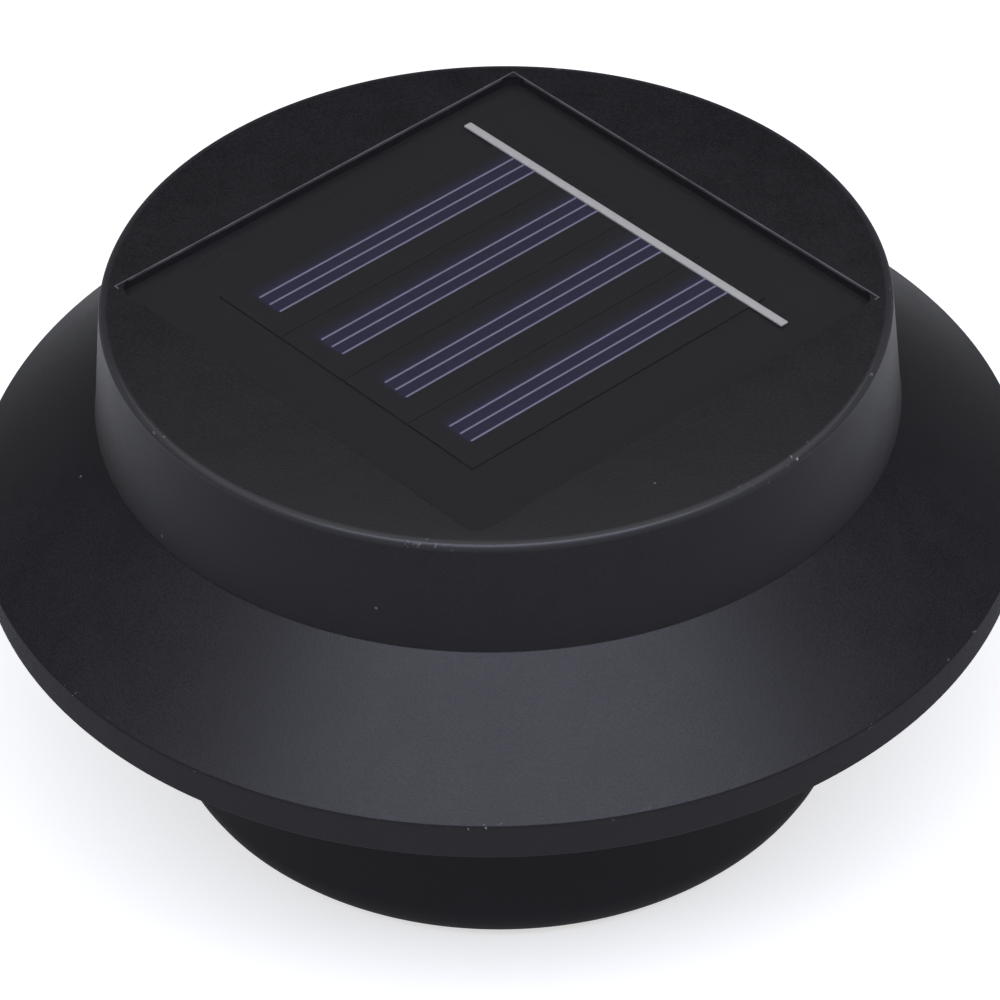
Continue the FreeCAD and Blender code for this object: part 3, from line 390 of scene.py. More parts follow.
def upright_block(name, corners, near, far, arc_steps=5):
    """Solid of an outline in X and Z, between two places along Y."""
    return slab(name, corners, Vector((0, far - near, 0)), lambda a, b: Vector((a, near, b)), arc_steps)


def rectangle(width, depth, corner, x=0.0, y=0.0):
    """Corners of a rounded rectangle about x, y."""
    sides = ((-1, -1), (1, -1), (1, 1), (-1, 1))
    return [(x + side_x * width / 2, y + side_y * depth / 2, corner) for side_x, side_y in sides]


def ring(total, radius, first_angle=0.0):
    """Places spread evenly round the axis, each with its angle."""
    for index in range(total):
        around = first_angle + full_turn * index / total
        yield radius * math.cos(around), radius * math.sin(around), around


def settle(piece):
    """Puts a piece's place and turn into its mesh, so that its object sits at the origin."""
    activate(piece)
    bpy.ops.object.transform_apply(location=True, rotation=True, scale=True)
    return piece


def moved(piece, place, turn=(0, 0, 0)):
    """Turns a piece and moves it to its place."""
    piece.rotation_euler = turn
    piece.location = place
    return settle(piece)


def turn_piece(piece, angle_z):
    """Turns a piece about the lamp's axis."""
    return moved(piece, (0, 0, 0), (0, 0, angle_z))


def aim_back(piece, x, y, z):
    """Lays a piece that was made upright along +Y and moves it to its place."""
    return moved(piece, (x, y, z), (-quarter_turn, 0, 0))


def cylinder(radius, low, high, x=0.0, y=0.0, sides=48):
    """Plain upright cylinder, used as a tool or joined to a larger piece."""
    deselect()
    bpy.ops.mesh.primitive_cylinder_add(vertices=sides, radius=radius, depth=high - low,
                                        location=(x, y, (low + high) / 2))
    return settle(bpy.context.object)


def modify(piece, kind, **options):
    """Adds a modifier to a piece, sets it and applies it."""
    activate(piece)
    modifier = piece.modifiers.new(kind, kind)
    for option, value in options.items():
        setattr(modifier, option, value)
    bpy.ops.object.modifier_apply(modifier=modifier.name)


def combine(piece, tool, operation):
    """Boolean of a piece with a tool, which is used up."""
    modify(piece, "BOOLEAN", operation=operation, solver="EXACT", object=tool)
    mesh = tool.data
    bpy.data.objects.remove(tool)
    bpy.data.meshes.remove(mesh)
    return piece


def cut(piece, tool):
    return combine(piece, tool, "DIFFERENCE")


def unite(piece, tool):
    return combine(piece, tool, "UNION")


def round_edges(piece, chosen, width, segments=2):
    """Rounds the sharp edges whose two ends chosen() accepts."""
    activate(piece)
    mesh = piece.data
    normals = {}
    for polygon in mesh.polygons:
        for key in polygon.edge_keys:
            normals.setdefault(key, []).append(polygon.normal.copy())
        polygon.select = False
    for vertex in mesh.vertices:
        vertex.select = False
    for edge in mesh.edges:
        ends = [mesh.vertices[index] for index in edge.vertices]
        sides = normals.get(edge.key, [])
        edge.select = (len(sides) == 2 and chosen(ends[0].co, ends[1].co)
                       and sides[0].angle(sides[1]) > crease)
        if edge.select:
            for end in ends:
                end.select = True
    bpy.ops.object.mode_set(mode="EDIT")
    bpy.ops.mesh.select_mode(type="EDGE")
    bpy.ops.mesh.bevel(offset=width, segments=segments, affect="EDGES", clamp_overlap=True)
    bpy.ops.mesh.select_all(action="DESELECT")
    bpy.ops.mesh.select_mode(type="VERT")
    bpy.ops.object.mode_set(mode="OBJECT")
    return piece


def plate(name, corners, low, high, rounding):
    """Flat plate with its upper edge rounded."""
    piece = block(name, corners, low, high, 8)
    return round_edges(piece, lambda a, b: min(a.z, b.z) > high - hair, rounding, 3)


def copy_piece(piece, name):
    """Copy of a piece with a mesh of its own."""
    copy = piece.copy()
    copy.data = piece.data.copy()
    bpy.context.scene.collection.objects.link(copy)
    return named(copy, name)


def join(pieces, name):
    """Several separate solids as one piece."""
    activate(*pieces)
    bpy.ops.object.join()
    return named(pieces[0], name)


def finish(piece, body, slot, replaced):
    """Shades a piece, gives it its slot's finish and fixes it to the frame."""
    activate(piece)
    bpy.ops.object.shade_smooth_by_angle(angle=smooth_angle)
    modify(piece, "WEIGHTED_NORMAL", keep_sharp=True)
    piece.data.materials.clear()
    piece.data.materials.append(finish_of(slot))
    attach(piece, body)
    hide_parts(replaced)


# ---- Shader nodes ----

class Value:
    """What a shader node puts out. Arithmetic on it adds math nodes beside that node."""

    def __init__(self, node, output=0):
        self.node = node
        self.socket = node.outputs[output]

    def math(self, operation, other=0.0):
        return Value(add(self, "Math", {0: self, 1: other}, operation=operation))

    def __add__(self, other):
        return self.math("ADD", other)

    def __sub__(self, other):
        return self.math("SUBTRACT", other)

    def __rsub__(self, other):
        return Value(add(self, "Math", {0: other, 1: self}, operation="SUBTRACT"))

    def __mul__(self, other):
        return self.math("MULTIPLY", other)

    def __truediv__(self, other):
        return self.math("DIVIDE", other)

    def __rtruediv__(self, other):
        return Value(add(self, "Math", {0: other, 1: self}, operation="DIVIDE"))

    def __gt__(self, other):
        return self.math("GREATER_THAN", other)

    def __lt__(self, other):
        return self.math("LESS_THAN", other)

    def __abs__(self):
        return self.math("ABSOLUTE")

    def clamped(self):
        """The same result of arithmetic, kept between 0 and 1."""
        self.node.use_clamp = True
        return self

    def scaled(self, low, high, to_low=0.0, to_high=1.0, smooth=False):
        """The value carried from one range to another."""
        ends = {"From Min": low, "From Max": high, "To Min": to_low, "To Max": to_high}
        return Value(add(self, "MapRange", {"Value": self, **ends},
                         interpolation_type="SMOOTHSTEP" if smooth else "LINEAR"))


def fill(node, inputs):
    """Joins values to a node's inputs, or sets the inputs to plain numbers and colours."""
    for key, value in inputs.items():
        socket = node.inputs[key]
        if isinstance(value, Value):
            node.id_data.links.new(value.socket, socket)
        elif socket.type == "RGBA":
            socket.default_value = (*value[:3], 1.0)
        else:
            socket.default_value = value


def add(beside, kind, inputs, **options):
    """Adds a node in the tree of another value, sets its options and fills its inputs."""
    node = beside.node.id_data.nodes.new("ShaderNode" + kind)
    for option, value in options.items():
        setattr(node, option, value)
    fill(node, inputs)
    return node


def values_of(node):
    """Everything that a node puts out, by name."""
    return {socket.name: Value(node, index) for index, socket in enumerate(node.outputs)}


def split(vector):
    """X, Y and Z of a vector."""
    return values_of(add(vector, "SeparateXYZ", {"Vector": vector})).values()


def mixed(share, first, second):
    """Colour between two colours."""
    return Value(add(share, "Mix", {"Factor": share, 6: first, 7: second}, data_type="RGBA"), 2)


def noise(place, size, detail=2.0, roughness=0.5):
    """Noise whose features are about size across."""
    return Value(add(place, "TexNoise", {"Vector": place, "Scale": 1 / size, "Detail": detail,
                                         "Roughness": roughness}), "Fac")


def tone(base, factor):
    """A colour made darker or lighter."""
    return [min(1.0, value * factor) for value in base]


def new_group(name, sizes, results):
    """Shader group that takes a place and sizes. Returns what it is given, and its end node."""
    tree = bpy.data.node_groups.new(name, "ShaderNodeTree")
    tree.interface.new_socket("Place", in_out="INPUT", socket_type="NodeSocketVector")
    for label, size in sizes.items():
        socket = tree.interface.new_socket(label, in_out="INPUT", socket_type="NodeSocketFloat")
        socket.default_value = size
    for label in results:
        tree.interface.new_socket(label, in_out="OUTPUT", socket_type="NodeSocketFloat")
    return values_of(tree.nodes.new("NodeGroupInput")), tree.nodes.new("NodeGroupOutput")


def use_group(place, name, sizes):
    """Places a shared effect in a material and returns what it puts out."""
    node = add(place, "Group", {}, node_tree=bpy.data.node_groups[name])
    fill(node, {"Place": place, **sizes})
    return values_of(node)


def make_grain_group():
    """Fine spark-eroded grain of moulded plastic, with a slow mottle."""
    given, result = new_group("moulded grain", {"Grain size": 0.35 * mm, "Mottle size": 6.0 * mm},
                              ["Height", "Shade", "Mottle"])
    place = given["Place"]
    fine = noise(place, given["Grain size"], 3.0, 0.6)
    pits = Value(add(place, "TexVoronoi", {"Vector": place, "Scale": 1.0 / given["Grain size"]},
                     feature="SMOOTH_F1"), "Distance")
    slow = noise(place, given["Mottle size"], 4.0, 0.62)
    fill(result, {"Height": pits * 0.6 + fine, "Shade": fine.scaled(0.3, 0.7),
                  "Mottle": slow.scaled(0.34, 0.66, smooth=True)})


def make_speck_group():
    """Sparse pale specks of dust and nicks."""
    given, result = new_group("pale specks", {"Spacing": 3.0 * mm, "Size": 0.06}, ["Mask"])
    cells = values_of(add(given["Place"], "TexVoronoi", {"Vector": given["Place"],
                                                         "Scale": 1.0 / given["Spacing"]}))
    chance = Value(add(given["Place"], "SeparateColor", {"Color": cells["Color"]}), "Red")
    near = cells["Distance"] < chance * given["Size"]
    fill(result, {"Mask": near * (chance > 0.72)})


def make_edge_highlight_and_wear_group():
    """Masks on a ring round the lamp's axis: the plain ring as Band, which the cap uses for a painted
    highlight band, and the ring broken by noise as Wear, for wear on a turned edge.
    """
    given, result = new_group("edge highlight and wear", {"Radius": 44.0 * mm, "Height": 63.0 * mm, "Width": 0.6 * mm},
                              ["Band", "Wear"])
    x, y, z = split(given["Place"])
    outwards = (x * x + y * y).math("SQRT") - given["Radius"]
    upwards = z - given["Height"]
    band = (1.0 - (upwards * upwards + outwards * outwards).math("SQRT") / given["Width"]).clamped()
    broken = noise(given["Place"], 0.8 * mm, 3.0, 0.7)
    patches = noise(given["Place"], 9.0 * mm, 1.0)
    fill(result, {"Band": band, "Wear": band * (broken.scaled(0.62, 0.70) * patches.scaled(0.54, 0.60))})


def make_brushed_group():
    """Fine straight scratches along the X axis."""
    given, result = new_group("brushed lines", {"Stretch": 60.0}, ["Height", "Shade"])
    x, y, z = split(given["Place"])
    squeezed = Value(add(x, "CombineXYZ", {"X": x / given["Stretch"], "Y": y, "Z": z}))
    fine = noise(squeezed, 0.12 * mm, 3.0, 0.6)
    wide = noise(squeezed, 0.9 * mm)
    fill(result, {"Height": fine, "Shade": wide * 0.5 + fine * 0.5})


def finish_name(slot):
    """Name of a slot's finish, apart from the plain one that the frame brings."""
    return "finish_" + slot


def finish_of(slot):
    """The finish that the finishes operator made for a slot."""
    return bpy.data.materials[finish_name(slot)]


def new_material(name):
    """Material's shader, and the place of each point on the piece."""
    material = bpy.data.materials.new(name)
    material.use_nodes = True
    nodes = material.node_tree.nodes
    return nodes["Principled BSDF"], Value(nodes.new("ShaderNodeTexCoord"), "Object")


def emboss(shader, height, distance):
    """Relief from a height."""
    bump = add(height, "Bump", {"Height": height, "Distance": distance, "Strength": 1.0})
    fill(shader, {"Normal": Value(bump)})


def grained(slot, base, grain, spread, mottle, specks):
    """Moulded plastic before its gloss and relief: grained, slightly mottled, with a few pale specks."""
    shader, place = new_material(finish_name(slot))
    surface = use_group(place, "moulded grain", {"Grain size": grain})
    shade = surface["Mottle"] * mottle + surface["Shade"] * (1.0 - mottle)
    face = mixed(shade, tone(base, 1 - spread), tone(base, 1 + spread))
    if specks > 0:
        dust = use_group(place, "pale specks", {"Spacing": 5.0 * mm, "Size": specks})
        face = mixed(dust["Mask"] * 0.4, face, (0.25, 0.25, 0.26))
    return shader, place, shade, face, surface["Height"]


def plastic(slot, base, rough, grain=0.35 * mm, relief=0.006 * mm, specular=0.15, spread=0.2, specks=0.0):
    """Moulded plastic, the same all over."""
    shader, _, shade, face, height = grained(slot, base, grain, spread, 0.3, specks)
    fill(shader, {"Base Color": face, "Roughness": shade.scaled(0.0, 1.0, *rough),
                  "Specular IOR Level": specular})
    emboss(shader, height, relief)


def panel_place(place, panel):
    """The place along, across and above the square panel, as one vector."""
    return Value(add(place, "Mapping", {"Vector": place, "Rotation": (0, 0, -panel.turn)}))


def cap_plastic(colours, cap, panel):
    """The cap's plastic: a smoother, slightly darker top, a lighter matte lip, a painted highlight on the
    recess's two back edges, a painted highlight band on the drum's top edge, and light wear on the turned
    edges.
    """
    shader, place, shade, face, grain = grained("cap_plastic", colours.cap, 0.26 * mm, 0.3, 0.2, 0.04)
    lip_top = cap.lip_low + cap.lip_height
    _, _, height = split(place)
    below = height.scaled(lip_top - 0.25 * mm, lip_top + 0.05 * mm, 1.0, 0.0)
    face = mixed(below, face, tone(colours.cap, 1.3))
    smooth = height.scaled(cap.top - 0.3 * mm, cap.top - 0.05 * mm)
    face = mixed(smooth * 0.18, face, black)
    # Painted highlight: a pale, patchy line on the recess's two back edges, just below the top, where the
    # edge would catch light.
    along, across, _ = split(panel_place(place, panel))
    middle = panel.side / 2 + panel.gap + cap.mouth_round / 2
    recess_highlight_line = abs(abs(along).math("MAXIMUM", abs(across)) - middle).scaled(0.05 * mm, 0.12 * mm, 1.0, 0.0)
    far = along.math("MAXIMUM", across) > panel.side / 2 - 0.5 * mm
    patches = noise(place, 5.0 * mm, 3.0, 0.6).scaled(0.3, 0.6, 0.45, 1.0)
    face = mixed(recess_highlight_line * patches * (far * (height > cap.top - 0.3 * mm)), face, colours.edge)
    # Turned edges: radius, height, band width, painted highlight added to the cap's colour on the band, and
    # strength of the pale wear. The drum's top edge gets a painted highlight band; the brim's edge gets
    # none.
    edges = (
        (cap.drum_top, cap.top, 1.0 * mm, 0.034, 0.9),
        (cap.drum_foot + cap.brim_reach, lip_top, 0.6 * mm, 0.0, 0.6),
    )
    for radius, level, width, painted_highlight, strength in edges:
        wear = use_group(place, "edge highlight and wear", {"Radius": radius, "Height": level, "Width": width})
        face = mixed(wear["Band"], face, [value + painted_highlight for value in colours.cap])
        face = mixed(wear["Wear"] * strength, face, (0.42, 0.42, 0.43))
    matte = below * 0.32 + shade.scaled(0.0, 1.0, 0.34, 0.47)
    fill(shader, {"Base Color": face, "Roughness": smooth * -0.24 + matte, "Specular IOR Level": 0.205})
    emboss(shader, grain * (smooth * -0.8 + 1.0), 0.014 * mm)


def laminate(slot, colours, panel):
    """Black face of the cells and of the sheet behind them."""
    shader, place = new_material(finish_name(slot))
    local = panel_place(place, panel)
    cloud = noise(local, 2.2 * mm, 3.0, 0.6)
    face = mixed(cloud, tone(colours.cell, 0.93), tone(colours.cell, 1.07))
    fill(shader, {"Base Color": face, "Roughness": cloud.scaled(0.3, 0.7, 0.36, 0.44),
                  "Specular IOR Level": 0.12})
    return shader, local, cloud, face


def solar_cell(colours, panel):
    """Dark cell with an indigo tint between its lines, which fades out on one side."""
    shader, local, cloud, face = laminate("solar_cell", colours, panel)
    along, across, _ = split(local)
    rows = (across - panel.cell_shift) / panel.cell_pitch + 10.0
    off_middle = (rows.math("FRACT") - 0.5) * panel.cell_pitch
    reach = panel.line_pitch
    inner = off_middle.scaled(-reach - 0.12 * mm, -reach)
    outer = off_middle.scaled(reach, reach + 2.0 * mm, 1.0, 0.0, smooth=True)
    start = along.scaled(panel.line_front - 0.4 * mm, panel.line_front)
    end = along.scaled(panel.line_back - 0.3 * mm, panel.line_back, 1.0, 0.0)
    strength = inner * outer * (start * end) * cloud.scaled(0.3, 0.7, 0.8, 1.0)
    fill(shader, {"Base Color": mixed(strength, face, colours.tint)})


def metal(slot, base, rough, stretch=1.0, relief=0.004 * mm):
    """Plated or brushed metal."""
    shader, place = new_material(finish_name(slot))
    lines = use_group(place, "brushed lines", {"Stretch": stretch})
    fill(shader, {"Base Color": mixed(lines["Shade"], tone(base, 0.82), base),
                  "Roughness": lines["Shade"].scaled(0.3, 0.7, *rough), "Metallic": 1.0})
    emboss(shader, lines["Height"], relief)


def clear_plastic(slot, base, rough, transmission):
    """Clear moulded plastic with faint flow waves."""
    shader, place = new_material(finish_name(slot))
    waves = noise(place, 5.0 * mm)
    fill(shader, {"Base Color": base, "Transmission Weight": transmission, "Specular IOR Level": 0.45,
                  "Roughness": waves.scaled(0.3, 0.7, *rough)})
    emboss(shader, waves, 0.01 * mm)


def panel_film(top):
    """Clear epoxy over the cells: only its upper skin shows, with a soft gloss."""
    shader, place = new_material(finish_name("panel_cover"))
    _, _, height = split(place)
    fill(shader, {"Base Color": (0.012, 0.012, 0.013), "Specular IOR Level": 0.35,
                  "Alpha": height.scaled(top - 0.12 * mm, top - 0.07 * mm, 0.0, 0.12),
                  "Roughness": noise(place, 9.0 * mm).scaled(0.3, 0.7, 0.28, 0.34)})


def conductor(slot, base, rough):
    """Printed or tinned conductor, slightly uneven."""
    shader, place = new_material(finish_name(slot))
    uneven = noise(place, 0.6 * mm, 3.0, 0.6)
    fill(shader, {"Base Color": mixed(uneven, tone(base, 0.8), base),
                  "Roughness": uneven.scaled(0.3, 0.7, *rough), "Metallic": 0.3})
    emboss(shader, uneven, 0.01 * mm)


class FENCE_OT_finishes(bpy.types.Operator):
    """Makes the materials, and finishes the nodes of the frame that keep their own shape"""
    bl_idname = "fence_light.finishes"
    bl_label = "Finishes"

    def execute(self, context):
        colours = context.scene.finish_colours
        panel = context.scene.panel_sizes
        for make in (make_grain_group, make_speck_group, make_edge_highlight_and_wear_group, make_brushed_group):
            make()
        cap_plastic(colours, context.scene.cap_sizes, panel)
        laminate("panel_backing", colours, panel)
        solar_cell(colours, panel)
        panel_film(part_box("panel_cover")[1].z)
        conductor("silver_line", colours.line, (0.4, 0.55))
        conductor("tinned_ribbon", colours.ribbon, (0.35, 0.5))
        clear_plastic("clear_lens", (0.97, 0.98, 0.98), (0.01, 0.04), 1.0)
        clear_plastic("led_resin", (0.95, 0.90, 0.55), (0.05, 0.12), 0.6)
        metal("reflector_plating", (0.86, 0.86, 0.87), (0.05, 0.12))
        metal("contact_nickel", (0.66, 0.64, 0.60), (0.2, 0.35), 20.0)
        metal("switch_case", (0.62, 0.62, 0.62), (0.25, 0.4), 12.0)
        metal("screw_zinc", colours.zinc, (0.18, 0.34))
        metal("bracket_steel", colours.steel, (0.22, 0.42), 70.0, 0.006 * mm)
        plastic("bowl_plastic", colours.bowl, (0.58, 0.68), specular=0.11, specks=0.02)
        plastic("seal_rubber", (0.03, 0.03, 0.03), (0.7, 0.85))
        plastic("adhesive_foam", (0.5, 0.5, 0.47), (0.8, 0.95), 0.6 * mm)
        plastic("foam_pad", (0.05, 0.05, 0.05), (0.85, 0.95), 0.8 * mm, 0.12 * mm)
        plastic("circuit_board", (0.02, 0.13, 0.045), (0.25, 0.4), 1.2 * mm, 0.01 * mm, 0.5)
        plastic("chip_resin", (0.02, 0.02, 0.02), (0.5, 0.65))
        plastic("inductor_core", (0.05, 0.14, 0.09), (0.3, 0.4))
        plastic("battery_sleeve", (0.05, 0.22, 0.10), (0.25, 0.35), relief=0.004 * mm, spread=0.08)
        plastic("holder_plastic", (0.016, 0.016, 0.017), (0.44, 0.56))
        plastic("switch_knob", (0.02, 0.02, 0.021), (0.35, 0.5))
        plastic("wire_red", (0.42, 0.02, 0.015), (0.35, 0.45), spread=0.1)
        plastic("wire_black", (0.012, 0.012, 0.012), (0.35, 0.45))
        plastic("clamp_pad_nylon", (0.022, 0.022, 0.023), (0.45, 0.6))
        slots = {part["node"]: part["material_slot"] for part in frame["record"]["subparts"]}
        for node, piece in frame["nodes"].items():
            piece.data.materials.clear()
            piece.data.materials.append(finish_of(slots[node]))
        return {"FINISHED"}


# ---- Cap and panel ----

def brim_under(cap, radius):
    """Height of the brim's under face at a radius."""
    foot = cap.top - cap.drum_height
    slope = (foot - cap.lip_low - cap.lip_height) / cap.brim_reach
    return foot - (radius - cap.drum_foot) * slope - cap.wall * math.sqrt(1 + slope * slope)


def cap_corners(cap):
    """Half section of the drum, brim, lip and sealing ring."""
    brim = cap.drum_foot + cap.brim_reach
    lip_foot = brim - cap.lip_draft
    lip_inside = lip_foot - cap.wall
    ceiling = cap.top - cap.wall
    foot_inside = cap.drum_foot - cap.wall
    ring_inside = cap.ring_radius - cap.ring_wall
    small = cap.lip_round
    return [
        (0, cap.top, 0),
        (cap.drum_top, cap.top, cap.top_round),
        (cap.drum_foot, cap.top - cap.drum_height, cap.foot_round),
        (brim, cap.lip_low + cap.lip_height, small),
        (lip_foot, cap.lip_low, small),
        (lip_inside, cap.lip_low, small),
        (lip_inside, brim_under(cap, lip_inside), small),
        (foot_inside, brim_under(cap, foot_inside), small),
        (cap.drum_top - cap.wall, ceiling, 0),
        (cap.ring_radius, ceiling, 0),
        (cap.ring_radius, cap.ring_low, 0),
        (ring_inside, cap.ring_low, 0),
        (ring_inside, ceiling, 0),
        (0, ceiling, 0),
    ]


def brim_ribs(cap):
    """Ribs under the brim, as one object of separate solids."""
    start = cap.ring_radius - cap.ring_wall / 2
    bend = cap.drum_foot - cap.wall
    end = cap.drum_foot + cap.brim_reach - cap.lip_draft - cap.wall - cap.rib_end
    into = cap.wall / 2
    section = [
        (start, cap.ring_low + bite, 0),
        (bend, brim_under(cap, bend) - cap.rib_depth, 0),
        (end, brim_under(cap, end) - bite, 0),
        (end, brim_under(cap, end) + into, 0),
        (bend, brim_under(cap, bend) + into, 0),
        (bend, cap.top - into, 0),
        (start, cap.top - into, 0),
    ]
    half = cap.rib_thickness / 2
    first = upright_block("rib", section, -half, half)
    ribs = []
    for _, _, around in ring(cap.rib_count, 0, full_turn / cap.rib_count / 2):
        ribs.append(turn_piece(copy_piece(first, "rib"), around))
    bpy.data.objects.remove(first)
    return join(ribs, "ribs")


class FENCE_OT_cap(bpy.types.Operator):
    """Models the moulded cap: drum, sloping brim, lip, panel tray, sealing ring and ribs"""
    bl_idname = "fence_light.cap"
    bl_label = "Cap"

    def execute(self, context):
        cap = context.scene.cap_sizes
        panel = context.scene.panel_sizes
        bowl = context.scene.bowl_sizes
        recess_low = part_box("panel_adhesive")[0].z
        tray_low = recess_low - cap.tray_wall
        recess_side = panel.side + 2 * panel.gap
        recess_corner = panel.corner + panel.gap
        tray_side = recess_side + 2 * cap.tray_wall
        shell = turned("cap_shell", cap_corners(cap), cap.steps)
        tray = block("tray", rectangle(tray_side, tray_side, recess_corner + cap.tray_wall), tray_low,
                     cap.top - cap.wall + bite)
        turn_piece(tray, panel.turn)
        limit = cylinder(cap.drum_top - cap.wall / 2, tray_low - past, cap.top, sides=cap.steps)
        unite(shell, combine(tray, limit, "INTERSECT"))
        for x, y, _ in ring(bowl.post_count, bowl.post_circle, quarter_turn):
            unite(shell, cylinder(cap.post_radius, bowl.height, tray_low + cap.tray_wall / 2, x, y))
        unite(shell, brim_ribs(cap))
        recess = block("recess", rectangle(recess_side, recess_side, recess_corner), recess_low,
                       recess_low + cap.top)
        cut(shell, turn_piece(recess, panel.turn))
        inside = cap.drum_top - 2 * cap.top_round

        def mouth(a, b):
            return min(a.z, b.z) > cap.top - hair and max(a.xy.length, b.xy.length) < inside

        round_edges(shell, mouth, cap.mouth_round)
        finish(shell, "lamp", "cap_plastic", "top_cap")
        return {"FINISHED"}


class FENCE_OT_panel(bpy.types.Operator):
    """Models the panel's clear cover, its four cells and the ribbon that joins them"""
    bl_idname = "fence_light.panel"
    bl_label = "Solar panel"

    def execute(self, context):
        panel = context.scene.panel_sizes
        low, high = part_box("panel_cover")
        cover = plate("panel_window", rectangle(panel.side, panel.side, panel.corner),
                      low.z + panel.bond_line, high.z, panel.edge_round)
        pocket_side = panel.side - 2 * panel.cover_rim
        cut(cover, block("pocket", rectangle(pocket_side, pocket_side, 0), low.z - past,
                         low.z + panel.pocket_depth))
        finish(turn_piece(cover, panel.turn), "lamp", "panel_cover", "panel_cover")
        low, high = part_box("cell_strip_1")
        cell_corners = rectangle(panel.cell_length, panel.cell_pitch - panel.cell_gap, panel.cell_corner)
        first = plate("cell_face", cell_corners, low.z, high.z, panel.cell_round)
        for index in range(panel.cell_count):
            suffix = "_%d" % (index + 1)
            across = panel.cell_shift + panel.cell_pitch * (index - (panel.cell_count - 1) / 2)
            cell = moved(copy_piece(first, "cell_face" + suffix), (0, across, 0))
            finish(turn_piece(cell, panel.turn), "lamp", "solar_cell", "cell_strip" + suffix)
        bpy.data.objects.remove(first)
        low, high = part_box("bus_bar")
        corners = rectangle(panel.ribbon_width, panel.ribbon_length, panel.ribbon_corner, panel.ribbon_place,
                            panel.ribbon_shift)
        ribbon = plate("bus_ribbon", corners, low.z, high.z, panel.ribbon_round)
        finish(turn_piece(ribbon, panel.turn), "lamp", "tinned_ribbon", "bus_bar")
        return {"FINISHED"}


# ---- Bowl ----

def bowl_corners(bowl):
    """Half section of the bowl from the lens opening out, up and back down inside."""
    inner_radius = bowl.radius - bowl.wall
    spigot_inside = bowl.spigot_radius - bowl.spigot_wall
    return [
        (bowl.opening, 0, bowl.opening_round),
        (bowl.radius, 0, bowl.base_round),
        (bowl.radius, bowl.height, bowl.soften),
        (bowl.spigot_radius, bowl.height, 0),
        (bowl.spigot_radius, bowl.height + bowl.spigot, bowl.soften),
        (spigot_inside, bowl.height + bowl.spigot, bowl.soften),
        (spigot_inside, bowl.height - bowl.spigot_wall, 0),
        (inner_radius, bowl.height - bowl.spigot_wall - bowl.wall, 0),
        (inner_radius, bowl.wall, bowl.base_round - bowl.wall),
        (bowl.opening, bowl.wall, 0),
    ]


def bracket_pad(bowl):
    """Flat-faced pad on the back of the bowl, which the bracket is screwed to."""
    corners = rectangle(bowl.pad_width, bowl.pad_high - bowl.pad_low, bowl.pad_corner, 0,
                        (bowl.pad_low + bowl.pad_high) / 2)
    pad = upright_block("pad", corners, bowl.pad_face / 2, bowl.pad_face, 6)
    round_edges(pad, lambda a, b: min(a.y, b.y) > bowl.pad_face - hair, bowl.pad_round, 3)
    return cut(pad, cylinder(bowl.radius - bowl.wall / 2, -past, bowl.height, sides=bowl.steps))


class FENCE_OT_bowl(bpy.types.Operator):
    """Models the lower bowl with its bracket pad, screw wells and switch pocket"""
    bl_idname = "fence_light.bowl"
    bl_label = "Bowl"

    def execute(self, context):
        bowl = context.scene.bowl_sizes
        switch = context.scene.switch_sizes

        def at_switch(name, long_side, short_side, corner, low, high):
            """Block about the switch."""
            return block(name, rectangle(long_side, short_side, corner, 0, -switch.place), low, high)

        shell = turned("bowl_shell", bowl_corners(bowl), bowl.steps, 10)
        unite(shell, bracket_pad(bowl))
        unite(shell, at_switch("switch_pad", switch.pocket_length + 2 * switch.pad_wall,
                               switch.pocket_width + 2 * switch.pad_wall, switch.pad_wall,
                               bowl.wall - bite, switch.pad_top))
        wells = list(ring(bowl.post_count, bowl.post_circle, quarter_turn))
        for x, y, _ in wells:
            unite(shell, cylinder(bowl.post_radius, bowl.wall - bite, bowl.height, x, y))
        for x, y, _ in wells:
            cut(shell, cylinder(bowl.well_radius, -past, bowl.well_top, x, y))
            cut(shell, cylinder(bowl.screw_hole, bowl.well_top - past, bowl.height + past, x, y))
        cut(shell, at_switch("pocket", switch.pocket_length, switch.pocket_width, switch.pocket_corner,
                             -past, switch.pocket_depth))
        cut(shell, at_switch("slot", switch.slot_length, switch.slot_width, switch.slot_corner,
                             -past, switch.pad_top + past))
        outside = bowl.opening + 2 * bowl.opening_round

        def mouths(a, b):
            return max(a.z, b.z) < hair and min(a.xy.length, b.xy.length) > outside

        round_edges(shell, mouths, bowl.soften)
        finish(shell, "lamp", "bowl_plastic", "lower_bowl")
        return {"FINISHED"}


# ---- Lens and reflector ----

def lens_corners(light):
    """Half section of the lens: rounded face below, fine rings above."""
    corners = [
        (0, light.face_low, 0),
        (light.face_radius, light.face_low, light.face_round),
        (light.face_radius, light.flange_low, 0),
        (light.flange_radius, light.flange_low, 0),
        (light.flange_radius, light.flange_top, 0),
    ]
    ringed = light.face_radius - light.plain_rim
    step = ringed / light.ring_count
    for index in range(light.ring_count):
        outer = ringed - index * step
        corners.append((outer, light.flange_top, 0))
        corners.append((outer - step / 2, light.flange_top - light.ring_depth, 0))
    corners.append((0, light.flange_top, 0))
    return corners


def reflector_corners(light, steps=14):
    """Half section of the reflector, a smooth dish with a flange."""
    low = light.flange_top
    top_inside = light.top - light.wall
    inner_top = light.top_radius - light.wall
    inside = []
    for index in range(steps + 1):
        share = index / steps
        radius = light.mouth + (inner_top - light.mouth) * share ** 1.25
        inside.append((radius, low + (top_inside - low) * math.sin(share * quarter_turn) ** 0.9, 0))
    outside = [(radius + light.wall, min(height + light.wall * 0.6, light.top), 0)
               for radius, height, _ in inside[:0:-1]]
    return inside + [(0, top_inside, 0), (0, light.top, 0)] + outside + [
        (light.mouth + light.wall, low + light.wall * 0.8, 0),
        (light.flange_radius, low + light.wall * 0.8, 0),
        (light.flange_radius, low, 0),
    ]


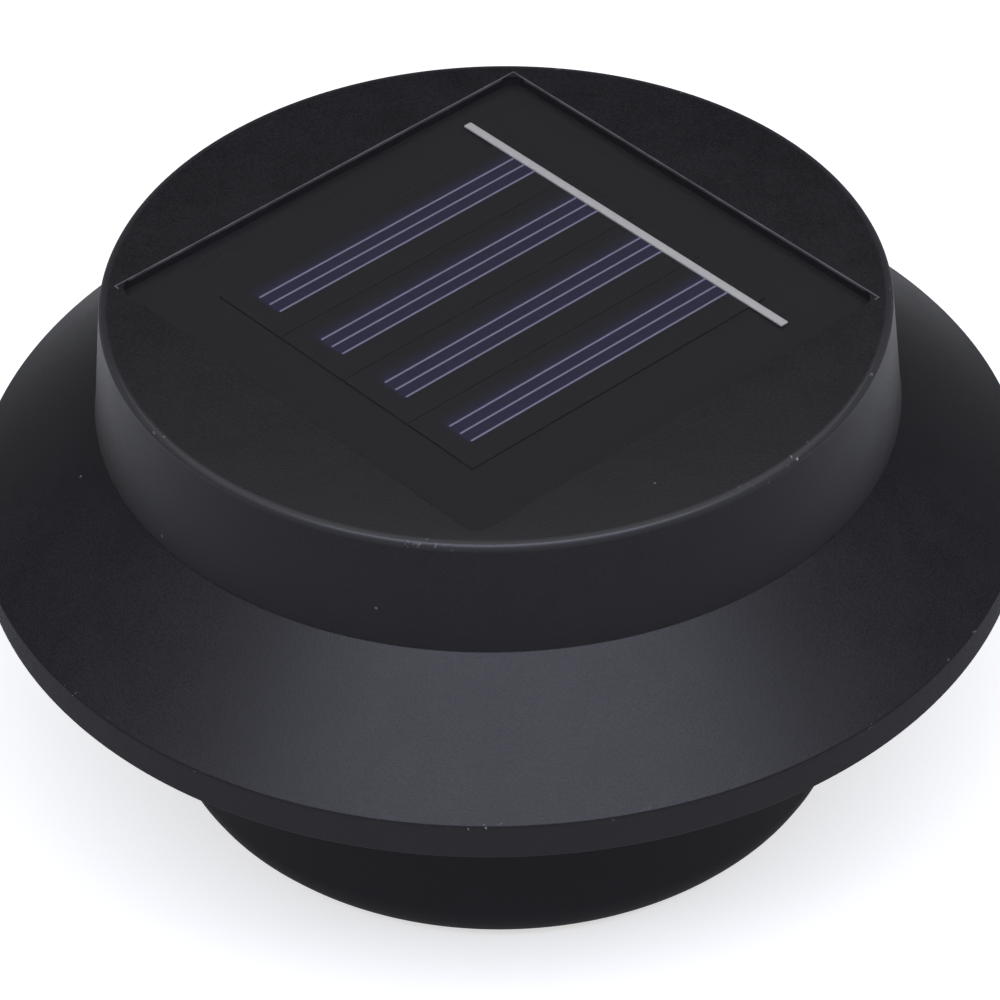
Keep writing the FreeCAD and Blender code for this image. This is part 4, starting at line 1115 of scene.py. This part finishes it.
class FENCE_OT_light(bpy.types.Operator):
    """Models the lens and the plated reflector round the LEDs"""
    bl_idname = "fence_light.light"
    bl_label = "Lens and reflector"

    def execute(self, context):
        light = context.scene.light_sizes
        finish(turned("lens_disc", lens_corners(light), light.steps), "lamp", "clear_lens", "lens")
        dish = turned("reflector_dish", reflector_corners(light), light.steps)
        for x, y, _ in ring(light.led_count, light.led_circle, quarter_turn):
            cut(dish, cylinder(light.led_hole, light.top - 3 * past, light.top + past, x, y, 32))
        finish(dish, "lamp", "reflector_plating", "reflector")
        return {"FINISHED"}


# ---- Bracket and screws ----

def strip_corners(bracket, outer):
    """Section of the bent strip, in Y and Z."""
    inner = bracket.inner_face
    thick = bracket.thickness
    tight = bracket.bend - thick / 2
    wide = bracket.bend + thick / 2
    return [
        (inner, bracket.inner_low, 0),
        (inner + thick, bracket.inner_low, 0),
        (inner + thick, bracket.top - thick, tight),
        (outer - thick, bracket.top - thick, tight),
        (outer - thick, bracket.outer_low, 0),
        (outer, bracket.outer_low, 0),
        (outer, bracket.top, wide),
        (inner, bracket.top, wide),
    ]


def leg_window(bracket, low, near, far):
    """Block that leaves a leg its rounded lower corners."""
    half = bracket.width / 2
    high = bracket.top + past
    corners = [(-half, low, bracket.corner), (half, low, bracket.corner), (half, high, 0), (-half, high, 0)]
    return upright_block("window", corners, near, far, 6)


class FENCE_OT_bracket(bpy.types.Operator):
    """Models the bent steel strip with its holes and softened edges"""
    bl_idname = "fence_light.bracket"
    bl_label = "Bracket"

    def execute(self, context):
        bracket = context.scene.bracket_sizes
        clamp = context.scene.clamp_sizes
        half = bracket.width / 2
        inner = bracket.inner_face
        outer = inner + bracket.channel + 2 * bracket.thickness
        middle = (inner + outer) / 2
        strip = slab("bracket_strip", strip_corners(bracket, outer), Vector((bracket.width, 0, 0)),
                     lambda a, b: Vector((-half, a, b)), 6)
        window = leg_window(bracket, bracket.inner_low, inner - past, middle)
        unite(window, leg_window(bracket, bracket.outer_low, middle - bite, outer + past))
        combine(strip, window, "INTERSECT")
        holes = (
            (bracket.screw_hole, inner, bracket.screw_spacing, bracket.screw_height),
            (bracket.fence_hole, outer - bracket.thickness, bracket.fence_spacing, bracket.fence_height),
            (clamp.shank + clamp.hole_gap, outer - bracket.thickness, clamp.spacing, clamp.height),
        )
        for side in (-1, 1):
            for radius, face, spacing, height in holes:
                hole = cylinder(radius, 0, bracket.thickness + 2 * past, sides=32)
                cut(strip, aim_back(hole, side * spacing / 2, face - past, height))
        modify(strip, "BEVEL", width=bracket.soften, segments=2, limit_method="ANGLE",
               angle_limit=soften_angle)
        finish(strip, "lamp", "bracket_steel", "bracket")
        return {"FINISHED"}


def thread(radius, depth, start, pitch, end, shares):
    """Corners of thread rings. The shares of the pitch set a ring's crest, its fall and its foot."""
    corners = []
    for index in range(int((end - start) / pitch)):
        low = start + index * pitch
        crest, fall, foot = (low + share * pitch for share in shares)
        corners += [(radius - depth, low, 0), (radius, crest, 0), (radius, fall, 0),
                    (radius - depth, foot, 0)]
    return corners


def pan_screw(sizes, shank_length, head_radius):
    """Pan screw with its tip up: domed head below z = 0 with a cross recess, and thread rings."""
    head = sizes.head_height
    radius = sizes.radius
    core = radius - sizes.thread_depth
    corners = [
        (0, -head, 0),
        (head_radius * 0.55, -head, 0.3 * mm),
        (head_radius, -head * 0.55, 0.35 * mm),
        (head_radius, 0, 0),
        (core, 0, 0),
        *thread(radius, sizes.thread_depth, 0.3 * mm, sizes.pitch, shank_length - 2 * radius + 0.3 * mm,
                (0.25, 0.35, 0.6)),
        (core, shank_length - radius, 0),
        (0, shank_length, 0),
    ]
    screw = turned("pan_screw", corners, 40, 4)
    long_side = head_radius * 0.95
    for width, depth in ((long_side, sizes.slot), (sizes.slot, long_side)):
        cut(screw, block("recess", rectangle(width, depth, 0), -head - past, sizes.slot_depth - head))
    return screw


class FENCE_OT_screws(bpy.types.Operator):
    """Models the pan screws that close the housing and hold the bracket"""
    bl_idname = "fence_light.screws"
    bl_label = "Screws"

    def execute(self, context):
        bowl = context.scene.bowl_sizes
        bracket = context.scene.bracket_sizes
        sizes = context.scene.screw_sizes
        first = pan_screw(sizes, sizes.housing_length, sizes.housing_head)
        screws = [moved(copy_piece(first, "housing_screw"), (x, y, bowl.well_top), (0, 0, around))
                  for x, y, around in ring(bowl.post_count, bowl.post_circle, quarter_turn)]
        bpy.data.objects.remove(first)
        finish(join(screws, "housing_pan_screws"), "lamp", "screw_zinc", "housing_screws")
        first = pan_screw(sizes, sizes.bracket_length, sizes.bracket_head)
        face = bracket.inner_face + bracket.thickness
        screws = []
        for side in (-1, 1):
            place = (side * bracket.screw_spacing / 2, face, bracket.screw_height)
            turn = (quarter_turn, math.radians(20 * side), 0)
            screws.append(moved(copy_piece(first, "bracket_screw"), place, turn))
        bpy.data.objects.remove(first)
        finish(join(screws, "bracket_pan_screws"), "lamp", "screw_zinc", "bracket_screws")
        return {"FINISHED"}


# ---- Clamp ----

def nut_piece(clamp):
    """Hexagonal nut with chamfered corners, standing on z = 0."""
    corner_radius = clamp.nut_flats / math.sqrt(3)
    nut = block("nut", [(x, y, 0) for x, y, _ in ring(6, corner_radius)], 0, clamp.nut_thickness)
    rim = clamp.nut_flats / 2
    drop = (corner_radius - rim) * 0.6 + bite * 0.6
    limit = turned("limit", [
        (0, 0, 0),
        (rim * 0.98, 0, 0),
        (corner_radius + bite, drop, 0),
        (corner_radius + bite, clamp.nut_thickness - drop, 0),
        (rim * 0.98, clamp.nut_thickness, 0),
        (0, clamp.nut_thickness, 0),
    ], 72)
    combine(nut, limit, "INTERSECT")
    return cut(nut, cylinder(clamp.shank + clamp.running_gap, -past, clamp.nut_thickness + past))


def thumb_screw(clamp, name, head):
    """Thumb screw along +Z from its pivot: threaded shank, and a fluted head from a height on."""
    start = clamp.pivot_length
    core = clamp.shank - clamp.thread_depth
    top = head + clamp.head_length
    screw = turned(name, [
        (0, 0, 0),
        (clamp.pivot, 0, 0.2 * mm),
        (clamp.pivot, start, 0),
        (core, start, 0),
        *thread(clamp.shank, clamp.thread_depth, start + 0.15 * mm, clamp.pitch, head - 0.65 * mm,
                (0.36, 0.48, 0.84)),
        (core, head - bite, 0),
        (clamp.shank + bite, head, 0),
        (clamp.head_radius, head, 0.5 * mm),
        (clamp.head_radius, top, 0.7 * mm),
        (clamp.head_radius * 0.62, top, 0.3 * mm),
        (clamp.head_radius * 0.55, top - clamp.head_dish, 0.2 * mm),
        (0, top - clamp.head_dish, 0),
    ], 96, 4)
    flutes = [cylinder(clamp.flute_radius, head - past, top + past, x, y, 24)
              for x, y, _ in ring(clamp.flute_count, clamp.head_radius)]
    return cut(screw, join(flutes, "flutes"))


def swivel_pad(clamp, name):
    """Round pad with a bore for the screw's pivot, its face at z = 0."""
    bore = clamp.pivot + clamp.running_gap
    floor = clamp.pad_thickness - clamp.pivot_length
    radius = clamp.pad_radius
    return turned(name, [
        (0, 0, 0),
        (radius * 0.55, 0, 0),
        (radius * 0.6, 0.25 * mm, 0),
        (radius * 0.66, 0.25 * mm, 0),
        (radius * 0.71, 0, 0),
        (radius, 0, 0.5 * mm),
        (radius, clamp.pad_thickness - 0.8 * mm, 0.4 * mm),
        (clamp.pad_neck, clamp.pad_thickness, 0.3 * mm),
        (bore, clamp.pad_thickness, 0),
        (bore, floor, 0),
        (0, floor, 0),
    ], 72, 4)


class FENCE_OT_clamp(bpy.types.Operator):
    """Models the nuts, thumb screws and swivel pads of the clamp"""
    bl_idname = "fence_light.clamp"
    bl_label = "Clamp"

    def execute(self, context):
        clamp = context.scene.clamp_sizes
        half = clamp.spacing / 2
        nut_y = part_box("clamp_nuts")[0].y
        nuts = [aim_back(nut_piece(clamp), x, nut_y, clamp.height) for x in (-half, half)]
        finish(join(nuts, "clamp_hex_nuts"), "lamp", "screw_zinc", "clamp_nuts")
        for x, word in ((-half, "left"), (half, "right")):
            low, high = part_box("clamp_screw_" + word)
            screw = thumb_screw(clamp, "thumb_screw_" + word, high.y - clamp.head_length - low.y)
            aim_back(screw, x, low.y, clamp.height)
            finish(screw, word + "_screw", "screw_zinc", "clamp_screw_" + word)
            pad = aim_back(swivel_pad(clamp, "swivel_pad_" + word), x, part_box("clamp_pad_" + word)[0].y,
                           clamp.height)
            finish(pad, word + "_pad", "clamp_pad_nylon", "clamp_pad_" + word)
        return {"FINISHED"}


# ---- Stage ----

def seen_rays(tree):
    """1 for what the camera sees straight or through glass, and 1 for what it sees in gloss."""
    path = tree.nodes.new("ShaderNodeLightPath")
    straight = Value(path, "Is Camera Ray") + Value(path, "Is Transmission Ray")
    return straight.clamped(), Value(path, "Is Glossy Ray")


def make_surroundings(stage):
    """White surroundings with an even light. Gloss sees dim sides and a bright ceiling."""
    world = bpy.data.worlds.new("studio")
    bpy.context.scene.world = world
    world.use_nodes = True
    tree = world.node_tree
    _, _, rise = split(Value(tree.nodes.new("ShaderNodeTexCoord"), "Generated"))
    sides = rise.scaled(-0.01, 0.07, 1.0, stage.walls, smooth=True)
    ceiling = rise.scaled(0.60, 0.67, 0.0, stage.ceiling, smooth=True)
    straight, glossy = seen_rays(tree)
    unseen = 1.0 - (straight + glossy).clamped()
    strength = unseen * stage.world_fill + (straight + glossy * (sides + ceiling))
    fill(tree.nodes["Background"], {"Color": white, "Strength": strength})


def make_floor(stage):
    """Pale floor that looks white and keeps the lamp's shadow. Gloss sees it fade away from the lamp."""
    deselect()
    bpy.ops.mesh.primitive_plane_add(size=30.0, location=(0, 0, -0.02 * mm))
    floor = bpy.context.object
    floor.name = "floor"
    shader, place = new_material("paper_floor")
    away = Value(add(place, "VectorMath", {"Vector": place}, operation="LENGTH"), "Value")
    straight, glossy = seen_rays(shader.id_data)
    far = glossy * away.scaled(0.10, 0.28, 0.0, 0.9, smooth=True)
    near = (glossy - far).clamped()
    lift = away.scaled(0.25, 1.2, stage.floor_lift, 1.0)
    fill(shader, {
        "Base Color": mixed(far, [stage.floor_shade] * 3, black),
        "Roughness": 0.9,
        "Specular IOR Level": 0.0,
        "Emission Color": white,
        "Emission Strength": straight * lift + near * (stage.floor_gloss * stage.floor_lift),
    })
    floor.data.materials.append(bpy.data.materials["paper_floor"])


def place_camera(stage, cap_top):
    """Camera at the photograph's angle, worked out from the cap's place in the view."""
    rise = stage.elevation
    right = Vector((1, 0, 0))
    up = Vector((0, math.sin(rise), math.cos(rise)))
    back = Vector((0, -math.cos(rise), math.sin(rise)))
    cosine = math.cos(stage.roll)
    sine = math.sin(stage.roll)
    rolled_right = cosine * right - sine * up
    rolled_up = sine * right + cosine * up
    offset = rolled_right * stage.aside + rolled_up * stage.above - back * stage.distance
    matrix = Matrix((rolled_right, rolled_up, back)).transposed().to_4x4()
    matrix.translation = Vector((0, 0, cap_top)) - offset
    camera_data = bpy.data.cameras.new("camera")
    camera_data.lens = stage.focal
    camera_data.sensor_width = 36.0
    camera_data.clip_start = 10 * mm
    camera = bpy.data.objects.new("camera", camera_data)
    bpy.context.scene.collection.objects.link(camera)
    camera.matrix_world = Matrix.Rotation(stage.swing, 4, "Z") @ matrix
    bpy.context.scene.camera = camera


def add_key_light(stage):
    """Wide soft box above the front, turned to the lamp."""
    data = bpy.data.lights.new("key", "AREA")
    data.shape = "RECTANGLE"
    data.size = stage.key_width
    data.size_y = stage.key_height
    data.energy = stage.key_power
    data.color = stage.key_tone
    light = bpy.data.objects.new("key", data)
    bpy.context.scene.collection.objects.link(light)
    place = Vector((0.05, -0.42, 0.78))
    turn = (Vector((0, -0.02, 0.04)) - place).to_track_quat("-Z", "Y")
    light.matrix_world = Matrix.Translation(place) @ turn.to_matrix().to_4x4()


class FENCE_OT_stage(bpy.types.Operator):
    """Makes the pale floor, the soft light and the camera"""
    bl_idname = "fence_light.stage"
    bl_label = "Stage"

    def execute(self, context):
        stage = context.scene.stage_settings
        make_floor(stage)
        make_surroundings(stage)
        add_key_light(stage)
        place_camera(stage, context.scene.cap_sizes.top)
        context.scene.view_settings.view_transform = "Standard"
        return {"FINISHED"}


class FENCE_PT_panel(bpy.types.Panel):
    """Lists the steps of the model in the sidebar, and the settings of each"""
    bl_idname = "FENCE_PT_panel"
    bl_label = "Solar fence light"
    bl_space_type = "VIEW_3D"
    bl_region_type = "UI"
    bl_category = "Fence light"

    def draw(self, context):
        for operator in operators:
            self.layout.operator(operator.bl_idname)
        for name, _ in groups:
            settings = getattr(context.scene, name)
            box = self.layout.box()
            box.label(text=name.replace("_", " ").capitalize())
            for key in settings.__annotations__:
                box.prop(settings, key)


groups = (
    ("cap_sizes", CapSizes),
    ("panel_sizes", PanelSizes),
    ("bowl_sizes", BowlSizes),
    ("switch_sizes", SwitchSizes),
    ("light_sizes", LightSizes),
    ("bracket_sizes", BracketSizes),
    ("screw_sizes", ScrewSizes),
    ("clamp_sizes", ClampSizes),
    ("finish_colours", FinishColours),
    ("stage_settings", StageSettings),
)
operators = (
    FENCE_OT_finishes,
    FENCE_OT_cap,
    FENCE_OT_panel,
    FENCE_OT_bowl,
    FENCE_OT_light,
    FENCE_OT_bracket,
    FENCE_OT_screws,
    FENCE_OT_clamp,
    FENCE_OT_stage,
)


def register():
    for name, group in groups:
        bpy.utils.register_class(group)
        setattr(bpy.types.Scene, name, PointerProperty(type=group))
    for operator in operators:
        bpy.utils.register_class(operator)
    bpy.utils.register_class(FENCE_PT_panel)


def unregister():
    bpy.utils.unregister_class(FENCE_PT_panel)
    for operator in reversed(operators):
        bpy.utils.unregister_class(operator)
    for name, group in reversed(groups):
        delattr(bpy.types.Scene, name)
        bpy.utils.unregister_class(group)


def main():
    register()
    for operator in operators:
        family, step = operator.bl_idname.split(".")
        getattr(getattr(bpy.ops, family), step)()


if __name__ == "__main__":
    main()
